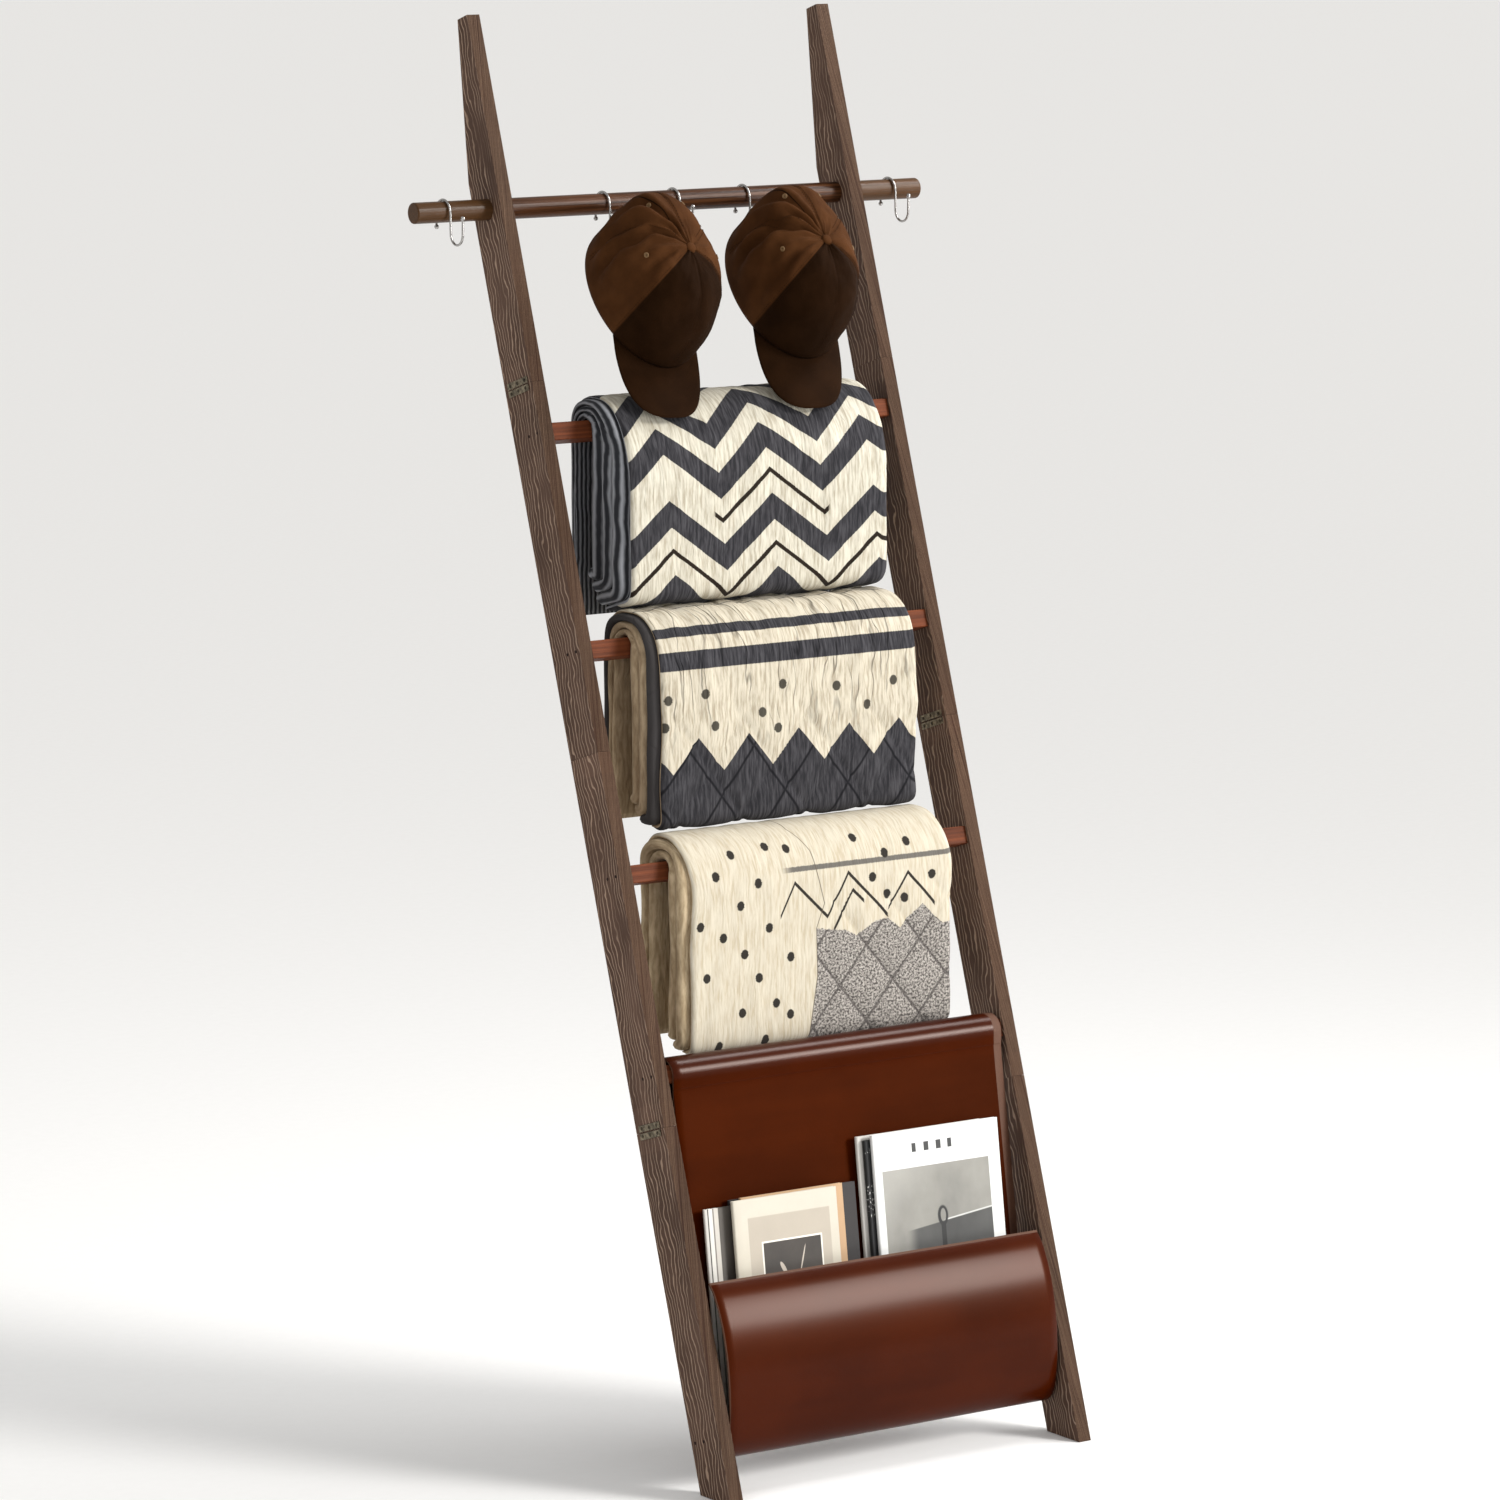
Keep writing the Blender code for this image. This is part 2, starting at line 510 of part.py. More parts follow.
def main():
    clear_scene()
    frame = empty("rack_frame", (0, -Y_MID, 0), rotation=(-LEAN, 0, 0))
    build_rack(frame)
    rod_y, rod_z = rail_yz(ROD_ALONG, ROD_IN)
    rod_y -= Y_MID
    for i, x in enumerate(HOOK_X):
        add(f"hook_{i + 1}", build_hook_mesh(), "steel", None, (x, rod_y, rod_z), smooth=True)
    for name, index, yaw in zip(("cap_left", "cap_right"), CAP_HOOKS, CAP_YAW):
        build_cap(name, HOOK_X[index], rod_y, rod_z, yaw)
    build_quilts()
    build_sling()
    build_magazines()


main()
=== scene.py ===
"""Looks of the leaning quilt rack: wood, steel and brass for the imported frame, and finished pieces
for its three folded quilts, two caps, leather magazine sling, magazines and hooks."""
import functools
import json
from math import asin, atan2, copysign, cos, exp, hypot, pi, radians, sin, sqrt

import bmesh
import bpy
import numpy as np
from mathutils import Matrix, Vector, noise


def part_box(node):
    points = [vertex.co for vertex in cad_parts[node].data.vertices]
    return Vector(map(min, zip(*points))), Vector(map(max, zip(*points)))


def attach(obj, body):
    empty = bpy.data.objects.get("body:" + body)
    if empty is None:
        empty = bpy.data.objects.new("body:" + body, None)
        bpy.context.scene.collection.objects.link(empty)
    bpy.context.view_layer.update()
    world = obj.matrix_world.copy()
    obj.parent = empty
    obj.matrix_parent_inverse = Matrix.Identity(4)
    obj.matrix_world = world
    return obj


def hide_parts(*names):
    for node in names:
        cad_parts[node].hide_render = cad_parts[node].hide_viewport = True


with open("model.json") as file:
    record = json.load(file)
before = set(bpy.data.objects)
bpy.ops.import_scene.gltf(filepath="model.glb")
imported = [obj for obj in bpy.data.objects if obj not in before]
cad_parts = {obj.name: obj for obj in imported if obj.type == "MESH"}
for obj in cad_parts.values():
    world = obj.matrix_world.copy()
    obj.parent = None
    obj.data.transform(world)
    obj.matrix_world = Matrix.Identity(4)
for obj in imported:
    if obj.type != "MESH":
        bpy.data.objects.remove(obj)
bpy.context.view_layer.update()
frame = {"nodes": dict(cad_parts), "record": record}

# ---- sizes shared with the frame, in metres ----
LEAN = radians(18.0)
GAP = 0.0003
SIN, COS = sin(LEAN), cos(LEAN)
RAIL_X = (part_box("rail_right_1")[0].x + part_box("rail_right_1")[1].x) / 2
RAIL_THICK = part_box("rail_right_1")[1].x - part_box("rail_right_1")[0].x
RAIL_LENGTH = 1.83
SECTION = RAIL_LENGTH / 4
RUNG_HEIGHT, RUNG_DEPTH = 0.022, 0.028
HALF_DIAGONAL = hypot(RUNG_DEPTH, RUNG_HEIGHT) / 2
ROD_R, WIRE_R, BALL_R = 0.013, 0.0015, 0.0029
LEATHER = 0.0035


def centre(node):
    low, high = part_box(node)
    return (low + high) / 2


FOOT_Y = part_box("rail_left_1")[0].y      # front bottom edge of the rails: along = inward = 0


# ---- node materials ----
class Val:
    """A node's output that can be used like a number."""

    def __init__(self, graph, socket):
        self.graph, self.socket = graph, socket

    def __abs__(self):
        return self.graph.math("ABSOLUTE", self)


def operator(operation, swapped=False):
    def apply(own, other):
        return own.graph.math(operation, *((other, own) if swapped else (own, other)))
    return apply


Val.__add__ = Val.__radd__ = operator("ADD")
Val.__mul__ = Val.__rmul__ = operator("MULTIPLY")
Val.__truediv__ = operator("DIVIDE")
Val.__sub__, Val.__rsub__ = operator("SUBTRACT"), operator("SUBTRACT", swapped=True)


class Graph:
    """One node material, written as expressions."""

    def __init__(self, name):
        self.mat = bpy.data.materials.new(name)
        self.mat.use_nodes = True
        self.tree = self.mat.node_tree
        self.shader = self.tree.nodes["Principled BSDF"]

    def node(self, kind, inputs=(), **settings):
        made = self.tree.nodes.new(kind)
        for key, value in settings.items():
            setattr(made, key, value)
        for key, value in dict(inputs).items():
            self.put(made.inputs[key], value)
        return made

    def put(self, socket, value):
        if isinstance(value, Val):
            self.tree.links.new(value.socket, socket)
        else:
            socket.default_value = value

    def math(self, operation, a, b=0.0):
        return Val(self, self.node("ShaderNodeMath", {0: a, 1: b}, operation=operation).outputs[0])

    def high(self, *values):
        """The highest of the values."""
        return functools.reduce(lambda a, b: self.math("MAXIMUM", a, b), values)

    def coords(self, kind="Object"):
        """x, y and z of the object coordinates, or of the normal or UV."""
        source = self.node("ShaderNodeTexCoord")
        parts = self.node("ShaderNodeSeparateXYZ", {0: Val(self, source.outputs[kind])})
        return [Val(self, out) for out in parts.outputs]

    def point(self, x=0.0, y=0.0, z=0.0):
        return Val(self, self.node("ShaderNodeCombineXYZ", {0: x, 1: y, 2: z}).outputs[0])

    def noise(self, where, detail=2.0, rough=0.5, scale=1.0):
        made = self.node("ShaderNodeTexNoise", {"Vector": self.point(*where), "Scale": scale, "Detail": detail,
                                                "Roughness": rough})
        return Val(self, made.outputs["Fac"])

    def cells(self, where, scale):
        made = self.node("ShaderNodeTexVoronoi", {"Vector": self.point(*where), "Scale": scale})
        return Val(self, made.outputs["Distance"])

    def ramp(self, value, low, high, to_low=0.0, to_high=1.0):
        """Smooth step of value from low to high."""
        made = self.node("ShaderNodeMapRange", {"Value": value, "From Min": low, "From Max": high,
                                                "To Min": to_low, "To Max": to_high},
                         interpolation_type="SMOOTHSTEP")
        return Val(self, made.outputs["Result"])

    def wave(self, value, period):
        """Triangle wave from 0 to 1 and back, once per period."""
        return self.math("PINGPONG", value, period / 2) / (period / 2)

    def band(self, value, low, high, soft):
        """1 where value lies between low and high."""
        return self.ramp(value, low - soft, low + soft) * self.ramp(value, high - soft, high + soft, 1.0, 0.0)

    def spot(self, u, v, at, radii, soft=0.12):
        """1 inside an upright ellipse."""
        du, dv = (u - at[0]) / radii[0], (v - at[1]) / radii[1]
        return self.ramp(du * du + dv * dv, 1 - soft * 2, 1 + soft * 2, 1.0, 0.0)

    def path(self, value, points):
        """Straight lines through (value, height) points, level outside them."""
        total = points[0][1]
        for (a, low), (b, high) in zip(points, points[1:]):
            made = self.node("ShaderNodeMapRange", {"Value": value, "From Min": a, "From Max": b,
                                                    "To Min": 0.0, "To Max": high - low})
            total = Val(self, made.outputs["Result"]) + total
        return total

    def mix(self, factor, a, b):
        made = self.node("ShaderNodeMix", data_type="RGBA")
        self.put(made.inputs["Factor"], factor)
        for key, value in ((6, a), (7, b)):
            self.put(made.inputs[key], value if isinstance(value, Val) else (*value, 1.0))
        return Val(self, made.outputs[2])

    def shade(self, colour, amount):
        """The colour, multiplied by a varying amount."""
        made = self.node("ShaderNodeVectorMath", operation="SCALE")
        self.put(made.inputs[0], colour)
        self.put(made.inputs["Scale"], amount)
        return Val(self, made.outputs[0])

    def bump(self, height):
        """Normal from a height in metres."""
        made = self.node("ShaderNodeBump", {"Height": height, "Distance": 1.0, "Strength": 1.0})
        return Val(self, made.outputs["Normal"])

    def finish(self, **sockets):
        for key, value in sockets.items():
            socket = self.shader.inputs[key.replace("_", " ")]
            if isinstance(value, tuple):
                value = (*value, 1.0)
            self.put(socket, value)
        return self.mat


# ---- camera, light and floor ----
CAMERA_AT = (-4.5673, -6.5308, 2.1077)
CAMERA_AZIMUTH, CAMERA_DROP, CAMERA_LENS = radians(34.737), radians(8.988), 158.0


def build_camera():
    data = bpy.data.cameras.new("camera")
    data.lens, data.sensor_width = CAMERA_LENS, 36.0
    camera = bpy.data.objects.new("camera", data)
    camera.location = CAMERA_AT
    camera.rotation_euler = (pi / 2 - CAMERA_DROP, 0, -CAMERA_AZIMUTH)
    bpy.context.collection.objects.link(camera)
    bpy.context.scene.camera = camera


def add_light(name, kind, place, aim, energy, **settings):
    data = bpy.data.lights.new(name, kind)
    data.energy = energy
    for key, value in settings.items():
        setattr(data, key, value)
    light = bpy.data.objects.new(name, data)
    light.location = place
    light.rotation_euler = (Vector(aim) - Vector(place)).to_track_quat("-Z", "Y").to_euler()
    bpy.context.collection.objects.link(light)


def build_studio():
    scene = bpy.context.scene
    scene.view_settings.view_transform = "Standard"
    world = bpy.data.worlds.new("studio")
    world.use_nodes = True
    world.node_tree.nodes["Background"].inputs["Color"].default_value = (1.0, 0.99, 0.975, 1.0)
    world.node_tree.nodes["Background"].inputs["Strength"].default_value = 0.56
    scene.world = world
    add_light("key", "SUN", (2.25, -2.8, 2.55), (0, 0, 0.8), 2.1, angle=radians(17),
              color=(1.0, 0.975, 0.94))
    add_light("soft_right", "AREA", (1.55, -2.15, 1.25), (0, -0.25, 0.2), 30, size=0.8)
    add_light("soft_top", "AREA", (1.45, -0.2, 2.7), (0, -0.1, 0.5), 30, size=0.8)
    add_light("soft_left", "AREA", (-2.6, -1.2, 2.4), (0, 0, 1.0), 12, size=1.6)
    g = Graph("studio_floor")
    x, y, _ = g.coords()
    speck = g.noise((x, y), 3.0, scale=60.0)
    g.finish(Base_Color=g.mix(speck, (0.93, 0.93, 0.925), (0.97, 0.97, 0.965)), Roughness=0.9)
    bpy.ops.mesh.primitive_plane_add(size=120.0, location=(0, 0, -0.0005))
    floor = bpy.context.object
    floor.name = "floor"
    floor.data.materials.append(g.mat)


# ---- mesh helpers ----
def new_piece(name, points, faces, materials, uvs=None, face_slots=None, sharp=60):
    """A mesh object from arrays; uvs holds one (u, v) per point."""
    mesh = bpy.data.meshes.new(name)
    mesh.from_pydata([tuple(p) for p in points], [], [tuple(f) for f in faces])
    for mat in materials:
        mesh.materials.append(mat)
    if uvs is not None:
        layer = mesh.uv_layers.new(name="UVMap")
        index = np.empty(len(mesh.loops), np.int32)
        mesh.loops.foreach_get("vertex_index", index)
        layer.data.foreach_set("uv", np.asarray(uvs, np.float32)[index].ravel())
    if face_slots is not None:
        mesh.polygons.foreach_set("material_index", np.asarray(face_slots, np.int32))
    mesh.shade_smooth()
    if sharp:
        mesh.set_sharp_from_angle(angle=radians(sharp))
    piece = bpy.data.objects.new(name, mesh)
    bpy.context.collection.objects.link(piece)
    return piece


def grid_faces(rows, columns, start=0, closed=False, flip=False):
    """Quads over a grid of points laid out row by row."""
    faces = []
    last = columns if closed else columns - 1
    for i in range(rows - 1):
        for j in range(last):
            a, b = start + i * columns + j, start + i * columns + (j + 1) % columns
            quad = (a, b, b + columns, a + columns)
            faces.append(quad[::-1] if flip else quad)
    return faces


def catmull(points, step):
    """A smooth run through the points, about one point every step metres."""
    pts = [Vector(p) for p in points]
    pts = [2 * pts[0] - pts[1]] + pts + [2 * pts[-1] - pts[-2]]
    out = []
    for a, b, c, d in zip(pts, pts[1:], pts[2:], pts[3:]):
        n = max(1, round((c - b).length / step))
        for k in range(n):
            u = k / n
            out.append(0.5 * (2 * b + (c - a) * u + (2 * a - 5 * b + 4 * c - d) * u * u
                              + (3 * b - a - 3 * c + d) * u ** 3))
    return out + [pts[-2]]


def arc(cy, cz, ry, rz, start, end, count):
    """Points on an upright ellipse in the (y, z) plane, angles in degrees from +Y."""
    return [(cy + ry * cos(radians(start + (end - start) * k / count)),
             cz + rz * sin(radians(start + (end - start) * k / count))) for k in range(count + 1)]


def straight(a, b, count):
    """Points from a up to, but not including, b."""
    return [(a[0] + (b[0] - a[0]) * k / count, a[1] + (b[1] - a[1]) * k / count) for k in range(count)]


def smooth(value, low, high):
    t = np.clip((value - low) / (high - low), 0, 1)
    return t * t * (3 - 2 * t)


def back_to_back(rows, columns):
    """Faces of two grids that lie back to back, and of the rim that joins them."""
    count = rows * columns
    ring = list(range(columns)) + [i * columns + columns - 1 for i in range(1, rows)]
    ring += [(rows - 1) * columns + j for j in range(columns - 2, -1, -1)]
    ring += [i * columns for i in range(rows - 2, 0, -1)]
    rim = [(b, a, a + count, b + count) for a, b in zip(ring, ring[1:] + ring[:1])]
    return grid_faces(rows, columns), grid_faces(rows, columns, count, flip=True), rim


def ride(piece, body, slot, *nodes):
    """Puts a piece on its body, in place of the CAD nodes given; the material slot is not used."""
    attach(piece, body)
    if nodes:
        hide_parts(*nodes)
    return piece


def add_piece(name, points, faces, materials, body, slot, *nodes, **how):
    """A closed piece whose faces all look outward, riding on its body."""
    piece = new_piece(name, points, faces, materials, **how)
    bm = bmesh.new()
    bm.from_mesh(piece.data)
    bmesh.ops.recalc_face_normals(bm, faces=bm.faces)
    bm.to_mesh(piece.data)
    bm.free()
    return ride(piece, body, slot, *nodes)


# ---- wood, metal ----
def wood_lines(g, across, along, seed, pitch, sway, edge=0.66):
    """Wavy open grain: 0 in the dark ground, 1 on the light lines."""
    drift = g.noise((across * 16.0, along * 9.0, seed), 3.0, 0.55)
    fine = g.noise((across * 60.0, along * 40.0, seed + 3.1), 2.0)
    phase = across / pitch + drift * sway + fine * 1.1
    line = g.wave(phase, 1.0)
    gate = g.noise((across * 30.0, along * 12.0, seed + 7.7), 2.0)
    return g.ramp(line, edge, edge + 0.28) * g.ramp(gate, 0.26, 0.52)


def rail_wood(name, seed, tone, seam_low, seam_high):
    """Dark brushed wood: long wavy grain on the wide faces, short cross grain on the narrow ones."""
    g = Graph(name)
    x, y, z = g.coords()
    nx = abs(g.coords("Normal")[0])
    along = (y - FOOT_Y) * SIN + z * COS
    inward = (y - FOOT_Y) * COS - z * SIN
    wide = g.ramp(nx, 0.5, 0.6)
    long_grain = wood_lines(g, inward, along, seed, 0.0064, 6.5)
    bow = (x * x) * 18.0
    cross_grain = wood_lines(g, along + bow + inward * 0.35, x * 1.6, seed + 20.0, 0.011, 2.2, 0.42)
    lines = long_grain * wide + cross_grain * (1.0 - wide)
    fibre_across = inward * wide + along * (1.0 - wide)
    fibre_along = along * wide + x * (1.0 - wide)
    fibre = g.noise((fibre_across * 900.0, fibre_along * 22.0, seed), 3.0)
    cloud = g.noise((inward * 22.0, along * 7.0, seed + 5.0), 2.0)
    patch = g.band(along, seam_low, seam_low + 0.03, 0.0008) + g.band(along, seam_high - 0.026, seam_high, 0.0008)
    shade = (0.66 + fibre * (0.1 + wide * 0.32) + cloud * 0.45) * (1.0 + patch * 0.16) * tone
    side = g.mix(cloud, (0.048, 0.026, 0.0175), (0.112, 0.066, 0.047))
    front = g.mix(cloud, (0.02, 0.007, 0.0032), (0.041, 0.016, 0.008))
    ground = g.shade(g.mix(wide, front, side), shade)
    pale = g.mix(fibre, (0.285, 0.19, 0.132), (0.44, 0.315, 0.23))
    warm = g.mix(fibre, (0.215, 0.128, 0.076), (0.33, 0.21, 0.134))
    light = g.shade(g.mix(wide, warm, pale), tone)
    colour = g.mix(lines * (0.45 + wide * 0.4), ground, light)
    height = lines * 0.0003 + fibre * (0.00006 + wide * 0.00024)
    return g.finish(Base_Color=colour, Roughness=0.6 - lines * 0.08, Normal=g.bump(height),
                    Specular_IOR_Level=0.09)


def turned_wood(name, dark, light, rough, coat, end_tint=None):
    """Stained wood with its grain along X."""
    g = Graph(name)
    x, y, z = g.coords()
    streak = g.noise((x * 5.0, y * 260.0, z * 260.0), 3.0, 0.6)
    pore = g.noise((x * 26.0, y * 1500.0, z * 1500.0), 2.0)
    cloud = g.noise((x * 7.0, y * 12.0, z * 12.0), 2.0)
    colour = g.mix(g.ramp(streak, 0.3, 0.72), dark, light)
    if end_tint:
        colour = g.mix(g.ramp(abs(x), RAIL_X - 0.012, RAIL_X + 0.012) * 0.75, colour, end_tint)
    colour = g.shade(colour, 0.62 + cloud * 0.55 + pore * 0.22)
    height = g.ramp(pore, 0.35, 0.5) * 0.00006 + streak * 0.0001
    return g.finish(Base_Color=colour, Roughness=rough + streak * 0.1, Normal=g.bump(height),
                    Coat_Weight=coat, Coat_Roughness=0.22, Specular_IOR_Level=0.09)


def aged_metal(name, dark, light, rough):
    g = Graph(name)
    x, y, z = g.coords()
    blotch = g.noise((x, y, z), 4.0, 0.6, scale=180.0)
    scratch = g.noise((x * 300.0, (y * COS - z * SIN) * 60.0, z * 900.0), 2.0)
    colour = g.mix(g.ramp(blotch, 0.35, 0.7), dark, light)
    return g.finish(Base_Color=colour, Metallic=1.0, Roughness=rough + blotch * 0.22,
                    Normal=g.bump(scratch * 0.00002 + blotch * 0.00005))


def dress_frame():
    """Materials for the CAD pieces that stay."""
    rung = turned_wood("rung_wood", (0.084, 0.022, 0.008), (0.17, 0.046, 0.017), 0.46, 0.0)
    rod = turned_wood("rod_wood", (0.024, 0.008, 0.003), (0.096, 0.036, 0.013), 0.28, 0.1,
                      end_tint=(0.074, 0.036, 0.014))
    dowel = turned_wood("dowel_wood", (0.34, 0.21, 0.12), (0.5, 0.34, 0.2), 0.6, 0.0)
    leaf = aged_metal("leaf_brass", (0.09, 0.074, 0.05), (0.3, 0.25, 0.175), 0.34)
    looks = {"rung": rung, "hanging": rod, "dowel": dowel, "leaf": leaf}
    tones = (1.00, 1.1, 0.96, 1.04)
    for node, piece in frame["nodes"].items():
        kind = node.split("_")[0]
        if kind == "rail":
            k = int(node[-1]) - 1
            seed, tone = (0, 1.0) if "left" in node else (40, 0.97)
            mat = rail_wood(node + "_wood", 11.0 * k + seed, tones[k] * tone,
                            k * SECTION if k else -1.0, (k + 1) * SECTION if k < 3 else 9.0)
        elif kind in looks:
            mat = looks[kind]
        else:
            continue
        for material_slot in piece.material_slots:
            material_slot.link = "OBJECT"
            material_slot.material = mat


def dome_profile(radius, height, rings):
    return [(radius * cos(pi / 2 * k / rings), height * sin(pi / 2 * k / rings))
            for k in range(rings)]


SCREW_PITCH, PLUG_OFF = 0.0165, 0.0095


def add_studs(name, places, normal, radius, height, mat, slot, sides=16):
    """Shallow domes with a driver slot, all on one flat face of the rack: one piece."""
    normal = Vector(normal).normalized()
    side = normal.orthogonal().normalized()
    other = normal.cross(side)
    points, faces = [], []
    for place in places:
        base = len(points)
        rings = [(radius, -0.0002)] + dome_profile(radius, height, 4)
        for r, h in rings:
            for k in range(sides):
                a = 2 * pi * k / sides
                cut = 0.0
                if r < radius * 0.8 and (abs(sin(a)) < 0.3 or abs(cos(a)) < 0.3):
                    cut = height * 0.55
                points.append(Vector(place) + (side * cos(a) + other * sin(a)) * r + normal * (h - cut))
        points.append(Vector(place) + normal * height * 0.4)
        faces += grid_faces(len(rings), sides, base, closed=True)
        tip = len(points) - 1
        last = base + (len(rings) - 1) * sides
        faces += [(last + k, last + (k + 1) % sides, tip) for k in range(sides)]
        faces.append(tuple(base + k for k in range(sides))[::-1])
    ride(new_piece(name, points, faces, [mat]), "rack", slot)


def build_studs():
    """Two small screws in each brass leaf, and the dark plugs over the rungs' screws."""
    brass = aged_metal("screw_brass", (0.03, 0.025, 0.018), (0.14, 0.115, 0.08), 0.45)
    plug = turned_wood("plug_wood", (0.01, 0.006, 0.005), (0.03, 0.016, 0.012), 0.6, 0.0)
    for node in frame["nodes"]:
        if not node.startswith("leaf_"):
            continue
        low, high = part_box(node)
        mid = (low + high) / 2
        outward = 1.0 if mid.x > copysign(RAIL_X, mid.x) else -1.0
        x = high.x if outward > 0 else low.x
        places = [(x, mid.y + COS * d, mid.z - SIN * d) for d in (-SCREW_PITCH, 0.0, SCREW_PITCH)]
        add_studs(node + "_screws", places, (outward, 0, 0), 0.0022, 0.0008, brass, "leaf_brass")
    for side, sx in (("left", -1), ("right", 1)):
        rungs = [centre(f"rung_{k}") for k in range(1, 6)]
        places = [(sx * (RAIL_X + RAIL_THICK / 2), c.y + COS * d, c.z - SIN * d)
                  for c in rungs for d in (-PLUG_OFF, PLUG_OFF)]
        add_studs(f"rail_{side}_plugs", places, (sx, 0, 0), 0.0021, 0.0003, plug, "rail_wood")


# ---- hooks ----
HOOK_LOOP_R, HOOK_CUP_R, HOOK_CUP = 0.0163, 0.0135, (-0.0305, -0.025)


def tube(name, path, radii, sides, mat):
    """A round bar through (x, y, z) points that lie in a plane x = constant, with closed ends."""
    points, faces = [], []
    for i, (p, r) in enumerate(zip(path, radii)):
        t = (path[min(i + 1, len(path) - 1)] - path[max(i - 1, 0)]).normalized()
        n = Vector((0, -t.z, t.y))
        for k in range(sides):
            a = 2 * pi * k / sides
            points.append(p + Vector((1, 0, 0)) * (r * cos(a)) + n * (r * sin(a)))
    faces += grid_faces(len(path), sides, closed=True)
    faces.append(tuple(range(sides))[::-1])
    faces.append(tuple((len(path) - 1) * sides + k for k in range(sides)))
    return new_piece(name, points, faces, [mat])


def build_hooks():
    g = Graph("hook_steel")
    x, y, z = g.coords()
    drawn = g.noise((x * 900.0, y * 200.0, z * 200.0), 3.0)
    steel = g.finish(Base_Color=g.mix(drawn, (0.3, 0.29, 0.28), (0.52, 0.505, 0.49)), Metallic=1.0,
                     Roughness=0.2 + drawn * 0.12, Normal=g.bump(drawn * 0.00002))
    rod = centre("hanging_rod")
    top = -(HOOK_LOOP_R - ROD_R - WIRE_R - GAP)
    cy, cz = HOOK_CUP
    run = [(HOOK_LOOP_R - 0.0012, top - 0.0175), (HOOK_LOOP_R - 0.0002, top - 0.0085)]
    run += arc(0, top, HOOK_LOOP_R, HOOK_LOOP_R, 0, 180, 12)
    run += [(-HOOK_LOOP_R - 0.0003, (top + cz) / 2)]
    run += arc(cy, cz, HOOK_CUP_R, HOOK_CUP_R, 0, -180, 10)
    run += [(cy - HOOK_CUP_R - 0.0003, cz + 0.01), (cy - HOOK_CUP_R - 0.0005, cz + 0.0195)]
    for n in range(1, 6):
        x = centre(f"hook_{n}").x
        wire = [Vector((x, rod.y + p[0], rod.z + p[1])) for p in catmull([(a, b, 0) for a, b in run], 0.0016)]
        stations = []
        for end, nxt in ((wire[0], wire[2]), (wire[-1], wire[-3])):
            axis = (nxt - end).normalized()
            ball = [(end + axis * (BALL_R * sin(radians(d))), BALL_R * cos(radians(d)))
                    for d in (-84, -66, -48, -30, -12, 6, 24, 42, 56)]
            stations.append(ball)
        chain = stations[0] + [(p, WIRE_R) for p in wire[2:-2]] + stations[1][::-1]
        piece = tube(f"hook_{n}_wire", [p for p, _ in chain], [r for _, r in chain], 14, steel)
        ride(piece, f"hook_{n}_swing", "steel", f"hook_{n}")


# ---- quilts ----
QUILT_MAX_THICK, FOLD_R, BACK_ROUND = 0.0095, 0.0075, 0.03
STEP, HEM_TAPER, EDGE_SWAY, RELIEF_MAX = 0.0036, 0.005, 0.003, 0.0035
RUNG_CLEAR_Y = RUNG_DEPTH / 2 * COS + RUNG_HEIGHT / 2 * SIN + GAP
RUNG_CLEAR_Z = RUNG_HEIGHT / 2 * COS + RUNG_DEPTH / 2 * SIN + GAP


def drape_guide(rung, ahead, behind, rise, shoulder, back_r, foot, back_foot, curl, run, drop):
    """Open (y, z) run of one layer: back hem, over the rung, down the front and under."""
    cy, cz = rung
    front, back, top = cy - ahead, cy + behind, cz + rise
    ry, rz = shoulder
    line = straight((back, back_foot), (back, top - back_r), 26)
    line += arc(back - back_r, top - back_r, back_r, back_r, 0, 90, 9)
    line += straight((back - back_r, top), (front + ry, top), 6)[1:]
    line += arc(front + ry, top - rz, ry, rz, 90, 180, 30)
    line += straight((front, top - rz), (front, foot + curl), 44)[1:]
    line += arc(front + curl, foot + curl, curl, curl, 180, 270, 10)
    line += straight((front + curl, foot), (front + curl + run, foot - drop), 12)[1:]
    run_points = np.array(line)
    for _ in range(5):
        run_points[1:-1] = 0.25 * run_points[:-2] + 0.5 * run_points[1:-1] + 0.25 * run_points[2:]
    return run_points


def fold_path(width, layers, edge, step, seed):
    """Where a folded sheet runs across the stack: (x, depth 0 outside to 1 inside, flat distance).
    Layer 0 starts at the left hem; folds alternate right and left."""
    rows, flat = [], 0.0
    gap = 1.0 / (layers - 1)
    for k in range(layers):
        shift_left = 0.004 * noise.noise((k // 2 * 1.7, seed, 0.3))
        shift_right = 0.004 * noise.noise((k // 2 * 1.3, seed, 5.3))
        left, right = -width / 2 + edge + shift_left, width / 2 - edge + shift_right
        span = right - left
        if k == 0:
            stops = np.linspace(0, 1, round(span / step) + 1)
        else:
            stops = 0.5 - 0.5 * np.cos(np.pi * np.linspace(0, 1, 27))
        xs = left + span * stops if k % 2 == 0 else right - span * stops
        rows += [(x, k * gap, flat + span * s) for x, s in zip(xs, stops)]
        flat += span
        if k < layers - 1:
            turn_at, way = (right, 1) if k % 2 == 0 else (left, -1)
            for j in range(1, 8):
                a = pi * j / 8
                rows.append((turn_at + way * edge * sin(a), (k + 0.5 - 0.5 * cos(a)) * gap,
                             flat + edge * 2.2 * j / 8))
            flat += edge * 2.2
    return np.array(rows), flat


